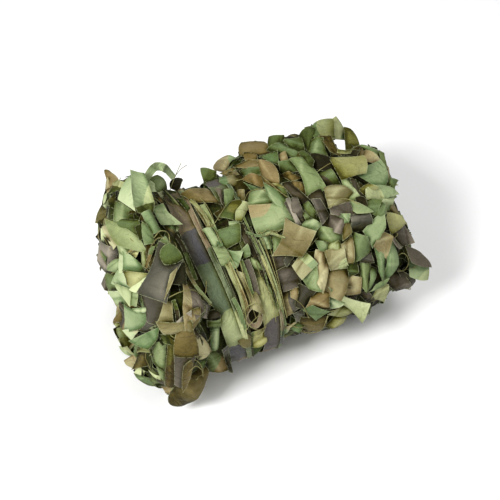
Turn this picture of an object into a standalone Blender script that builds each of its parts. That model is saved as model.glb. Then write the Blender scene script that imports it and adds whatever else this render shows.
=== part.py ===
"""Camouflage net rolled into a bundle and bound round its waist.

One roll of leaf-cut net lies on its side along X. Two cloth bands and a thin
cord are pulled tight round the waist, which sits nearer the left end, and a
small cloth loop is left standing where the bands are tied off.
Metres, +Z up. The origin is the middle of the footprint, on the ground.
"""

import math

import bpy
import numpy as np
from mathutils import Vector, noise

# ---------------------------------------------------------------- dimensions
AROUND = 60            # points round a section
SIDE_STEP = 0.0099     # distance between sections along the roll
SQUARENESS = 2.35      # superellipse exponent of a section; 2 is an ellipse

# sections of the roll, left to right: place along X, middle in Y, half width
# in Y, height, lift of the section's underside, strength of the leaf lumps
SECTION_COLUMNS = ("x", "y", "half_width", "height", "lift", "lumps")
SECTIONS = (
    (-0.1595, 0.012, 0.108, 0.204, 0.000, 1.0),
    (-0.141, 0.011, 0.133, 0.240, 0.000, 1.0),
    (-0.122, 0.012, 0.129, 0.237, 0.000, 0.9),
    (-0.110, 0.013, 0.117, 0.211, 0.006, 0.4),
    (-0.100, 0.013, 0.111, 0.191, 0.011, 0.0),
    (-0.050, 0.013, 0.109, 0.185, 0.012, 0.0),
    (-0.009, 0.014, 0.108, 0.188, 0.011, 0.0),
    (0.008, 0.016, 0.115, 0.210, 0.005, 0.5),
    (0.026, 0.018, 0.123, 0.230, 0.000, 1.0),
    (0.070, 0.020, 0.124, 0.236, 0.000, 1.0),
    (0.118, 0.025, 0.126, 0.232, 0.000, 1.0),
    (0.1585, 0.026, 0.112, 0.204, 0.000, 1.0),
)

FLAT_SPOT = 0.005      # how much of the underside its own weight presses flat
LUMP_HEIGHT = 0.0085   # how far the leaf lumps stand out
LUMP_SIZE = 0.034      # their spacing
PLEATS = 12            # gathers that run out from the bands
PLEAT_HEIGHT = 0.0035
PLEAT_REACH = 0.040    # how far along the roll a gather runs
STEP_ANGLE = 18.0      # where the net's outer edge lies, degrees up from +Y
STEP_HEIGHT = 0.007    # thickness of the last turn at that edge

END_ROUND = 0.024      # radius between the side and an end
END_RINGS = 12
END_TURNS = 3.2        # turns of the roll that show on an end
END_RELIEF = 0.011     # depth of the grooves between them

BAND_THICK = 0.0020
BAND_GAP = 0.0011      # from the roll's facets to a band's inner side
# the two cloth bands: middle along X, width, shift of the top to the left
BAND_COLUMNS = ("name", "x", "width", "slant")
BANDS = (
    ("band_left", -0.0705, 0.025, 0.015),
    ("band_right", -0.0250, 0.024, 0.002),
)

CORD_RADIUS = 0.0015
CORD_X = -0.0545
CORD_SLANT = 0.015     # shift of the cord's top to the left
LOOP_X = -0.0486       # the standing loop, beside the cord
LOOP_ANGLE = 157.0     # degrees round the section from +Y over the top
LOOP_RADIUS = 0.0074
LOOP_ROD = 0.0026

COLOURS = {
    "net_green": (0.17, 0.25, 0.09, 1.0),
    "band_cloth": (0.16, 0.19, 0.12, 1.0),
    "cord_olive": (0.30, 0.28, 0.13, 1.0),
}


# ------------------------------------------------------------------- helpers
def clear_scene():
    for obj in list(bpy.data.objects):
        bpy.data.objects.remove(obj, do_unlink=True)


def section_at(x):
    """The section's sizes at x, blended smoothly between the table's rows."""
    xs = [row[0] for row in SECTIONS]
    x = min(max(x, xs[0]), xs[-1])
    i = max(k for k in range(len(xs) - 1) if xs[k] <= x)
    t = (x - xs[i]) / (xs[i + 1] - xs[i])
    t = t * t * (3.0 - 2.0 * t)
    a, b = SECTIONS[i], SECTIONS[i + 1]
    return {
        name: a[k] + (b[k] - a[k]) * t for k, name in enumerate(SECTION_COLUMNS)
    }


def signed_power(value, power):
    return math.copysign(abs(value) ** power, value)


def outline(x, angle, scale=1.0):
    """(y, z) of the plain section at this angle, 0 at +Y and 90 degrees up."""
    s = section_at(x)
    power = 2.0 / SQUARENESS
    half_height = s["height"] / 2.0
    # The last turn thickens up to the loose outer edge, then drops off it.
    turn = ((math.degrees(angle) - STEP_ANGLE) % 360.0) / 360.0
    last_turn = STEP_HEIGHT * turn**6 * min(1.0, s["lumps"] * 1.5)
    y = (s["half_width"] * signed_power(math.cos(angle), power)) * scale
    z = (half_height * signed_power(math.sin(angle), power)) * scale
    y += last_turn * math.cos(angle) * scale
    z += last_turn * math.sin(angle) * scale
    return s["y"] + y, s["lift"] + half_height + z, s


def lump(x, y, z):
    """Rounded bumps and hollows the size of the net's leaves."""
    p = Vector((x, y, z)) / LUMP_SIZE
    fine = noise.noise(p + Vector((7.3, 1.9, 4.4)))
    coarse = noise.noise(p * 0.45 + Vector((2.1, 8.7, 0.6)))
    return 0.85 * fine + 0.75 * coarse


def pleat(x, angle):
    """Gathers that fan out on both sides of the bound waist."""
    left = min(row[1] - row[2] / 2 - row[3] for row in BANDS) - 0.004
    right = max(row[1] + row[2] / 2 for row in BANDS) + 0.006
    away = left - x if x < left else x - right
    if away <= 0.0 or away >= PLEAT_REACH:
        return 0.0
    share = math.sin(math.pi * (away / PLEAT_REACH) ** 0.7)
    return PLEAT_HEIGHT * share * math.cos(PLEATS * angle + 1.3 * math.sin(2 * angle))


def roll_point(x, angle):
    """A point of the roll's side, with its lumps and gathers, flat beneath."""
    y, z, s = outline(x, angle)
    out = LUMP_HEIGHT * s["lumps"] * lump(x, y, z) + pleat(x, angle)
    y += out * math.cos(angle)
    z += out * math.sin(angle)
    return Vector((x, y, max(z, FLAT_SPOT)))


def end_ring(x_end, side, share):
    """One ring of an end: share is 1 at the rim and 0 in the middle."""
    radius = (section_at(x_end)["half_width"] + section_at(x_end)["height"] / 2) / 2
    flat_from = 1.0 - END_ROUND / radius
    if share > flat_from:
        rise = END_ROUND * math.sqrt(
            max(0.0, 1.0 - ((share - flat_from) / (1.0 - flat_from)) ** 2)
        )
    else:
        rise = END_ROUND
    ring = []
    for k in range(AROUND):
        angle = 2 * math.pi * k / AROUND
        edge = roll_point(x_end, angle)
        mid_z = section_at(x_end)["height"] / 2.0
        mid_y = section_at(x_end)["y"]
        y = mid_y + (edge.y - mid_y) * share
        z = mid_z + (edge.z - mid_z) * share
        turn = share * END_TURNS - side * angle / (2 * math.pi)
        fade = min(1.0, share / 0.18) * min(1.0, (1.0 - share) / 0.12)
        groove = END_RELIEF * fade * (0.5 + 0.5 * math.cos(2 * math.pi * turn))
        bump = 0.6 * LUMP_HEIGHT * fade * lump(x_end + side * 0.02, y * 1.3, z * 1.3)
        ring.append(Vector((x_end + side * (rise - groove + bump), y, z)))
    return ring


def mesh_object(name, points, faces, material, smooth_angle=None):
    mesh = bpy.data.meshes.new(name)
    mesh.from_pydata([tuple(p) for p in points], [], faces)
    mesh.validate()
    if smooth_angle is not None:
        mesh.shade_smooth()
        mesh.set_sharp_from_angle(angle=math.radians(smooth_angle))
    obj = bpy.data.objects.new(name, mesh)
    obj.data.materials.append(material)
    return obj


def make_material(name):
    mat = bpy.data.materials.new(name)
    mat.use_nodes = True
    shader = mat.node_tree.nodes["Principled BSDF"]
    shader.inputs["Base Color"].default_value = COLOURS[name]
    shader.inputs["Roughness"].default_value = 0.85
    shader.inputs["Metallic"].default_value = 0.0
    return mat


# -------------------------------------------------------------------- pieces
def build_roll(material):
    """The wound net: rings along its length, closed by a wound end each way."""
    x0, x1 = SECTIONS[0][0], SECTIONS[-1][0]
    count = round((x1 - x0) / SIDE_STEP)
    rings = [
        [roll_point(x0 + (x1 - x0) * i / count, 2 * math.pi * k / AROUND)
         for k in range(AROUND)]
        for i in range(count + 1)
    ]
    radius = (section_at(x0)["half_width"] + section_at(x0)["height"] / 2) / 2
    flat_from = 1.0 - END_ROUND / radius
    # ring places on an end: three round the rim, the rest evenly to the middle
    shares = [flat_from + (1.0 - flat_from) * math.cos(math.radians(a))
              for a in (30, 60, 90)]
    left = END_RINGS - len(shares)
    shares += [flat_from * (1.0 - (j + 1) / (left + 1)) for j in range(left)]
    head = [end_ring(x0, -1, s) for s in reversed(shares)]
    tail = [end_ring(x1, 1, s) for s in shares]
    rings = head + rings + tail
    points = [p for ring in rings for p in ring]
    faces = []
    for i in range(len(rings) - 1):
        a, b = i * AROUND, (i + 1) * AROUND
        for k in range(AROUND):
            n = (k + 1) % AROUND
            faces.append((a + k, a + n, b + n, b + k))
    for ring_start, ring, flip in ((0, rings[0], False),
                                   ((len(rings) - 1) * AROUND, rings[-1], True)):
        middle = sum(ring, Vector()) / AROUND
        points.append(middle)
        m = len(points) - 1
        for k in range(AROUND):
            n = (k + 1) % AROUND
            face = (m, ring_start + n, ring_start + k)
            faces.append(face[::-1] if flip else face)
    return mesh_object("net_roll", points, faces, material, 50.0)


def band_frame(x, angle, lift):
    """A point held this far off the roll's plain section at x."""
    step = 0.02
    ya, za, _ = outline(x, angle - step)
    yb, zb, _ = outline(x, angle + step)
    y, z, _ = outline(x, angle)
    ty, tz = yb - ya, zb - za
    length = math.hypot(ty, tz)
    return Vector((x, y + lift * tz / length, z - lift * ty / length))


def build_band(row, material):
    """A cloth band pulled flat round the waist, its ends meeting in a loop."""
    band = dict(zip(BAND_COLUMNS, row))
    points = []
    for k in range(AROUND):
        angle = 2 * math.pi * k / AROUND
        x = band["x"] - band["slant"] * math.sin(angle)
        w = band["width"] / 2
        for dx, lift in ((-w, BAND_GAP), (w, BAND_GAP),
                         (w, BAND_GAP + BAND_THICK), (-w, BAND_GAP + BAND_THICK)):
            points.append(band_frame(x + dx, angle, lift))
    faces = []
    for k in range(AROUND):
        n = (k + 1) % AROUND
        for c in range(4):
            d = (c + 1) % 4
            faces.append((k * 4 + c, k * 4 + d, n * 4 + d, n * 4 + c))
    return mesh_object(band["name"], points, faces, material, 40.0)


def build_cord(material):
    """A thin net cord drawn once round the waist between the bands."""
    curve = bpy.data.curves.new("tie_cord", "CURVE")
    curve.dimensions = "3D"
    spline = curve.splines.new("POLY")
    spline.points.add(AROUND - 1)
    for k in range(AROUND):
        angle = 2 * math.pi * k / AROUND
        x = CORD_X - CORD_SLANT * math.sin(angle)
        p = band_frame(x, angle, BAND_GAP + CORD_RADIUS)
        spline.points[k].co = (*p, 1.0)
    spline.use_cyclic_u = True
    curve.bevel_depth = CORD_RADIUS
    curve.bevel_resolution = 1
    curve.materials.append(material)
    return bpy.data.objects.new("tie_cord", curve)


def build_loop(material):
    """The cloth loop left standing beside the cord."""
    angle = math.radians(LOOP_ANGLE)
    seat = band_frame(LOOP_X, angle, BAND_GAP + LOOP_ROD * 1.15)
    out = (band_frame(LOOP_X, angle, 1.0) - band_frame(LOOP_X, angle, 0.0)).normalized()
    bpy.ops.mesh.primitive_torus_add(
        major_radius=LOOP_RADIUS, minor_radius=LOOP_ROD,
        major_segments=20, minor_segments=8,
        location=seat, rotation=out.to_track_quat("Z", "Y").to_euler())
    obj = bpy.context.active_object
    obj.name = "tie_loop"
    obj.data.name = "tie_loop"
    obj.data.materials.append(material)
    obj.data.shade_smooth()
    return obj


def main():
    clear_scene()
    group = bpy.data.collections.new("camouflage_net_roll")
    bpy.context.scene.collection.children.link(group)
    materials = {name: make_material(name) for name in COLOURS}

    pieces = [build_roll(materials["net_green"])]
    pieces += [build_band(row, materials["band_cloth"]) for row in BANDS]
    pieces.append(build_cord(materials["cord_olive"]))
    pieces.append(build_loop(materials["band_cloth"]))

    # Everything hangs on one empty, moved so that the footprint's middle is
    # at the origin and the flat underside lies on the ground.
    co = np.array([v.co for v in pieces[0].data.vertices])
    low, high = co.min(axis=0), co.max(axis=0)
    base = bpy.data.objects.new("bundle", None)
    group.objects.link(base)
    base.location = (-(low[0] + high[0]) / 2, -(low[1] + high[1]) / 2, -low[2])
    for obj in pieces:
        for owner in list(obj.users_collection):
            owner.objects.unlink(obj)
        group.objects.link(obj)
        obj.parent = base


main()
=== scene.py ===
"""Looks of a camouflage net rolled into a bundle.

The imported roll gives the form. Here it becomes a dark wound core under several
layers of die-cut cloth leaves, each a thin closed sheet bent the way cut cloth
bends, with net cord between them, two cloth bands and a cord round the waist
and the small loop where they are tied off. Metres, +Z up.
"""

import math

import bmesh
import bpy
import numpy as np
from mathutils import Matrix, Vector, noise
from mathutils.bvhtree import BVHTree


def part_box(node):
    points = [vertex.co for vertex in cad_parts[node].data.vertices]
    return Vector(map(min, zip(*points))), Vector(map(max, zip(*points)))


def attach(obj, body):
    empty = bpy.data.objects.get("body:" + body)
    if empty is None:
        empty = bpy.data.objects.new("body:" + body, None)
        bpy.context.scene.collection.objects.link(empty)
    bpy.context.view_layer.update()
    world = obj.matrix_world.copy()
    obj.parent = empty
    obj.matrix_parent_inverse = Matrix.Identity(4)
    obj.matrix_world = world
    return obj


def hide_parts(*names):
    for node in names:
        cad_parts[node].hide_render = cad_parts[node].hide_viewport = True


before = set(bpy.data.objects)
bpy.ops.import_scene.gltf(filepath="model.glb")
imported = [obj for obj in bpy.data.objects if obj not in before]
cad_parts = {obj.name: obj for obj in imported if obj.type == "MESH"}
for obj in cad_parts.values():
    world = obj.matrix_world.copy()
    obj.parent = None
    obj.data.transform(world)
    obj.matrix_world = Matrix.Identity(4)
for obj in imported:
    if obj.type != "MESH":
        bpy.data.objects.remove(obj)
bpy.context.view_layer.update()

# ------------------------------------------------------------------- camera
AIM = Vector((0.0, 0.0, 0.105))
AZIMUTH, ELEVATION = math.radians(-22.0), math.radians(52.0)
LENS, SENSOR, DISTANCE = 65.0, 36.0, 1.13
FRAME_PX = 500.0
AIM_PX = (257.0, 254.0)          # where the aim falls in the frame

BACK = Vector((math.sin(AZIMUTH) * math.cos(ELEVATION),
               -math.cos(AZIMUTH) * math.cos(ELEVATION), math.sin(ELEVATION)))
RIGHT = Vector((math.cos(AZIMUTH), math.sin(AZIMUTH), 0.0))
UP = BACK.cross(RIGHT)
FOCAL_PX = LENS / SENSOR * FRAME_PX
EYE = (AIM + BACK * DISTANCE
       - RIGHT * ((AIM_PX[0] - FRAME_PX / 2) / FOCAL_PX * DISTANCE)
       + UP * ((AIM_PX[1] - FRAME_PX / 2) / FOCAL_PX * DISTANCE))

cam_data = bpy.data.cameras.new("camera")
cam_data.lens = LENS
cam_data.sensor_width = SENSOR
camera = bpy.data.objects.new("camera", cam_data)
camera.location = EYE
camera.rotation_mode = "QUATERNION"
camera.rotation_quaternion = (-BACK).to_track_quat("-Z", "Y")
bpy.context.scene.collection.objects.link(camera)
bpy.context.scene.camera = camera


def ray_at(px, py):
    """Direction from the camera through a point of the 500-pixel frame."""
    x = (px - FRAME_PX / 2) / FOCAL_PX
    y = -(py - FRAME_PX / 2) / FOCAL_PX
    return (RIGHT * x + UP * y - BACK).normalized()


# ------------------------------------------------------------- the roll's form
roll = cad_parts["net_roll"]
roll_tree = BVHTree.FromObject(roll, bpy.context.evaluated_depsgraph_get())
roll_lo, roll_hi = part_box("net_roll")
MID_Y = 0.5 * (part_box("band_left")[0].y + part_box("band_left")[1].y)
MID_Z = 0.5 * (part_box("band_left")[0].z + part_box("band_left")[1].z)
WAIST = (-0.0985, -0.0100)       # the stretch that the bands hold tight
END_X = (roll_lo.x + 0.030, roll_hi.x - 0.030)


def skin(x, angle, tree=roll_tree):
    """The roll's surface at x in this direction round it: point and normal."""
    out = Vector((0.0, math.cos(angle), math.sin(angle)))
    start = Vector((x, MID_Y, MID_Z)) + out * 0.4
    hit, normal, _, _ = tree.ray_cast(start, -out)
    if hit is None:
        return Vector((x, MID_Y, MID_Z)) + out * 0.05, out
    return hit, normal


def soft_normal(point):
    """The surface's normal averaged over a leaf's breadth."""
    total = Vector()
    for hit, normal, _, distance in roll_tree.find_nearest_range(point, 0.022):
        total += normal * (0.024 - distance)
    return total.normalized() if total.length > 1e-6 else Vector((0, 0, 1))


# -------------------------------------------------------------- cloth solids
THICK = 0.00035                  # thickness of the leaf cloth


class Heap:
    """Collects thin closed sheets and joins them into one mesh."""

    def __init__(self, name):
        self.name = name
        self.points, self.faces = [], []
        self.cloth, self.tone, self.edge, self.shade = [], [], [], []
        self.normals = []
        self.count, self.area, self.sheets, self.grids = 0, 0.0, 0, []

    def add(self, mid, flat, tone, shade, edge, cloth, thick=THICK, loop_u=False):
        """mid and flat are grids of points: the bent sheet, and its flat cut."""
        nu, nv = mid.shape[:2]
        du = np.gradient(mid, axis=0)
        dv = np.gradient(mid, axis=1)
        if loop_u:
            du[0] = du[-1] = (mid[1] - mid[-2]) / 2
        normal = np.cross(du, dv)
        normal /= np.maximum(np.linalg.norm(normal, axis=2, keepdims=True), 1e-12)
        top = (mid + normal * thick / 2).reshape(-1, 3)
        low = (mid - normal * thick / 2).reshape(-1, 3)
        n = nu * nv
        index = np.arange(n).reshape(nu, nv)
        if loop_u:
            index[-1] = index[0]
        a, b = index[:-1, :-1].ravel(), index[1:, :-1].ravel()
        c, d = index[1:, 1:].ravel(), index[:-1, 1:].ravel()
        quads = [np.stack([a, b, c, d], 1), np.stack([d, c, b, a], 1) + n]
        rims = [index[:, 0], index[::-1, -1]]
        if not loop_u:
            rims += [index[0, ::-1], index[-1, :]]
        for line in rims:
            p, q = line[:-1], line[1:]
            quads.append(np.stack([q, p, p + n, q + n], 1))
        self.points += [top, low]
        self.normals += [normal.reshape(-1, 3), -normal.reshape(-1, 3)]
        self.faces.append(np.concatenate(quads) + self.count)
        for store, value in ((self.cloth, cloth), (self.tone, tone),
                             (self.edge, edge), (self.shade, shade)):
            value = np.asarray(value, float)
            if store is self.edge or store is self.shade:
                value = np.broadcast_to(value, (nu, nv)).reshape(-1)
            else:
                value = np.broadcast_to(value, (nu, nv, 3)).reshape(-1, 3)
            store.extend((value, value))
        self.count += 2 * n
        su, sv = flat[1:, :-1] - flat[:-1, :-1], flat[:-1, 1:] - flat[:-1, :-1]
        tu, tv = flat[1:, 1:] - flat[1:, :-1], flat[1:, 1:] - flat[:-1, 1:]
        cross = lambda p, q: p[..., 0] * q[..., 1] - p[..., 1] * q[..., 0]
        self.area += float((abs(cross(su, sv)) + abs(cross(tu, tv))).sum() / 2)
        self.sheets += 1
        self.grids.append((nu, nv))

    def build(self, material, smooth_angle=60.0):
        points = np.concatenate(self.points)
        faces = np.concatenate(self.faces)
        mesh = bpy.data.meshes.new(self.name)
        mesh.vertices.add(len(points))
        mesh.vertices.foreach_set("co", points.astype(np.float32).ravel())
        mesh.loops.add(len(faces) * 4)
        mesh.loops.foreach_set("vertex_index", faces.astype(np.int32).ravel())
        mesh.polygons.add(len(faces))
        mesh.polygons.foreach_set("loop_start", np.arange(0, len(faces) * 4, 4, dtype=np.int32))
        mesh.update(calc_edges=True)
        for name, kind, store in (("cloth", "FLOAT_VECTOR", self.cloth),
                                  ("tone", "FLOAT_VECTOR", self.tone),
                                  ("edge", "FLOAT", self.edge),
                                  ("shade", "FLOAT", self.shade)):
            layer = mesh.attributes.new(name, kind, "POINT")
            data = np.concatenate(store).astype(np.float32)
            layer.data.foreach_set("vector" if kind == "FLOAT_VECTOR" else "value", data.ravel())
        # points shared where a sheet runs round and meets itself
        used = np.zeros(len(points), bool)
        used[faces.ravel()] = True
        if not used.all():
            bm = bmesh.new()
            bm.from_mesh(mesh)
            bm.verts.ensure_lookup_table()
            bmesh.ops.delete(bm, geom=[bm.verts[i] for i in np.where(~used)[0]], context="VERTS")
            bm.to_mesh(mesh)
            bm.free()
        mesh.shade_smooth()
        mesh.set_sharp_from_angle(angle=math.radians(smooth_angle))
        mesh.materials.append(material)
        obj = bpy.data.objects.new(self.name, mesh)
        bpy.context.scene.collection.objects.link(obj)
        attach(obj, "root")
        return obj


# --------------------------------------------------------------- leaf cloth
def edge_distance(flat):
    """How far each point of the flat cut lies from its outline."""
    line = np.concatenate([flat[:-1, 0], flat[-1, :-1], flat[:0:-1, -1], flat[0, :0:-1]])
    ahead = np.roll(line, -1, axis=0)
    p = flat.reshape(-1, 1, 2)
    a, d = line[None], (ahead - line)[None]
    t = np.clip(((p - a) * d).sum(2) / np.maximum((d * d).sum(2), 1e-12), 0, 1)
    gap = np.linalg.norm(p - (a + t[..., None] * d), axis=2).min(1)
    return gap.reshape(flat.shape[:2])


TONES = {                        # bias towards light, brown and dark
    "any": (0.0, 0.0, 0.0),
    "green": (-1.0, -1.0, -1.0),
    "light": (1.0, -1.0, -1.0),
    "brown": (0.0, 1.0, -1.0),
    "dark": (0.0, 0.0, 1.0),
}

LIMIT_OUT = 0.0085               # how far leaves may stand outside the roll's box
FLOOR_GAP = 0.0009


def keep_in(mid):
    """Keeps a sheet above the ground and near the roll's own box."""
    lo = np.array([roll_lo.x - LIMIT_OUT, roll_lo.y - LIMIT_OUT, FLOOR_GAP])
    hi = np.array([roll_hi.x + LIMIT_OUT, roll_hi.y + LIMIT_OUT, roll_hi.z + LIMIT_OUT])
    soft = 0.004
    out = mid.copy()
    for k in range(3):
        over = mid[..., k] - (hi[k] - soft)
        out[..., k] = np.where(over > 0, hi[k] - soft * np.exp(-over / soft), out[..., k])
        if k == 2:
            under = (lo[k] + 0.002) - mid[..., k]
            out[..., k] = np.where(under > 0, lo[k] + 0.002 * np.exp(-under / 0.006), out[..., k])
        else:
            under = (lo[k] + soft) - mid[..., k]
            out[..., k] = np.where(under > 0, lo[k] + soft * np.exp(-under / soft), out[..., k])
    return out


# The waist's plain outline, sampled once, to press leaves under the bands.
waist_angles = np.linspace(0, 2 * math.pi, 121)
waist_radii = np.array([
    (lambda p: math.hypot(p.y - MID_Y, p.z - MID_Z))(skin(-0.053, a)[0]) for a in waist_angles
])


BAND_COLUMNS = ("node", "x", "width", "slant")
BANDS = (
    ("band_left", -0.0705, 0.025, 0.015),
    ("band_right", -0.0250, 0.024, 0.002),
)


def band_gaps(x, angle):
    """How far x lies left of both bands, between them, and right of both."""
    (_, xl, wl, sl), (_, xr, wr, sr) = BANDS
    left, right = xl - sl * np.sin(angle), xr - sr * np.sin(angle)
    between = np.minimum(x - (left + wl / 2), (right - wr / 2) - x)
    return (left - wl / 2) - x, between, x - (right + wr / 2)


def under_bands(mid, slope=1.1, deep=0.0012, swell=0.0045):
    """Draws a sheet in towards the waist, so that it passes under the bands."""
    y, z = mid[..., 1] - MID_Y, mid[..., 2] - MID_Z
    radius = np.hypot(y, z)
    angle = np.arctan2(z, y) % (2 * math.pi)
    limit = np.interp(angle, waist_angles, waist_radii) - deep
    left, between, right = band_gaps(mid[..., 0], angle)
    away = np.maximum(np.maximum(left, right), 0.0)
    limit = limit + away * slope + 0.9 * away ** 2 / 0.03
    limit = limit + np.minimum(np.maximum(between, 0.0) * 0.9, swell)
    factor = np.where(radius > limit, limit / np.maximum(radius, 1e-6), 1.0)
    out = mid.copy()
    out[..., 1] = MID_Y + y * factor
    out[..., 2] = MID_Z + z * factor
    return out


def place(points, origin, ex, ey, ez):
    basis = np.array([ex, ey, ez], float)
    return points @ basis + np.array(origin, float)


# ----------------------------------------------------------------- materials
def new_material(name):
    mat = bpy.data.materials.new(name)
    mat.use_nodes = True
    return mat, mat.node_tree, mat.node_tree.nodes["Principled BSDF"]


class Nodes:
    """Short names for the nodes that the materials are made of."""

    def __init__(self, tree):
        self.tree = tree

    def make(self, kind, **values):
        node = self.tree.nodes.new(kind)
        for key, value in values.items():
            setattr(node, key, value)
        return node

    def link(self, source, target):
        self.tree.links.new(source, target)

    def attribute(self, name):
        return self.make("ShaderNodeAttribute", attribute_name=name)

    def math(self, operation, a, b=None, c=None, clamp=False):
        node = self.make("ShaderNodeMath", operation=operation, use_clamp=clamp)
        for k, value in enumerate((a, b, c)):
            if value is None:
                continue
            if isinstance(value, (int, float)):
                node.inputs[k].default_value = value
            else:
                self.link(value, node.inputs[k])
        return node.outputs[0]

    def noise(self, vector, scale, detail=2.0, rough=0.5, distort=0.0):
        node = self.make("ShaderNodeTexNoise", noise_dimensions="3D")
        node.inputs["Scale"].default_value = scale
        node.inputs["Detail"].default_value = detail
        node.inputs["Roughness"].default_value = rough
        node.inputs["Distortion"].default_value = distort
        self.link(vector, node.inputs["Vector"])
        return node.outputs["Fac"]

    def mix(self, factor, a, b, blend="MIX"):
        node = self.make("ShaderNodeMix", data_type="RGBA", blend_type=blend)
        for socket, value in ((node.inputs[0], factor), (node.inputs[6], a), (node.inputs[7], b)):
            if isinstance(value, (int, float)):
                socket.default_value = value
            elif isinstance(value, tuple):
                socket.default_value = (*value, 1.0)
            else:
                self.link(value, socket)
        return node.outputs[2]

    def stretch(self, vector, scale, shift=(0, 0, 0)):
        node = self.make("ShaderNodeMapping", vector_type="POINT")
        node.inputs["Scale"].default_value = scale
        node.inputs["Location"].default_value = shift
        self.link(vector, node.inputs["Vector"])
        return node.outputs[0]

    def ramp(self, value, low, high):
        node = self.make("ShaderNodeMapRange", clamp=True)
        node.inputs["From Min"].default_value = low
        node.inputs["From Max"].default_value = high
        self.link(value, node.inputs["Value"])
        return node.outputs[0]


def linear(r, g, b):
    """sRGB 0 to 255 to the linear colour that the shader takes."""
    turn = lambda c: c / 12.92 if c <= 0.04045 else ((c + 0.055) / 1.055) ** 2.4
    return tuple(turn(c / 255.0) for c in (r, g, b))


GREEN = linear(100, 117, 75)
LIGHT = linear(150, 153, 106)
BROWN = linear(127, 113, 76)
DARK = linear(77, 72, 62)
# pale colours that the shade value turns towards: faded dye, and painted highlight
FADED_AND_LIT = linear(168, 172, 138)
FADED_DARK_AND_LIT = linear(146, 137, 122)
CUT_EDGE_AND_HIGHLIGHT = linear(186, 192, 148)


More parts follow.
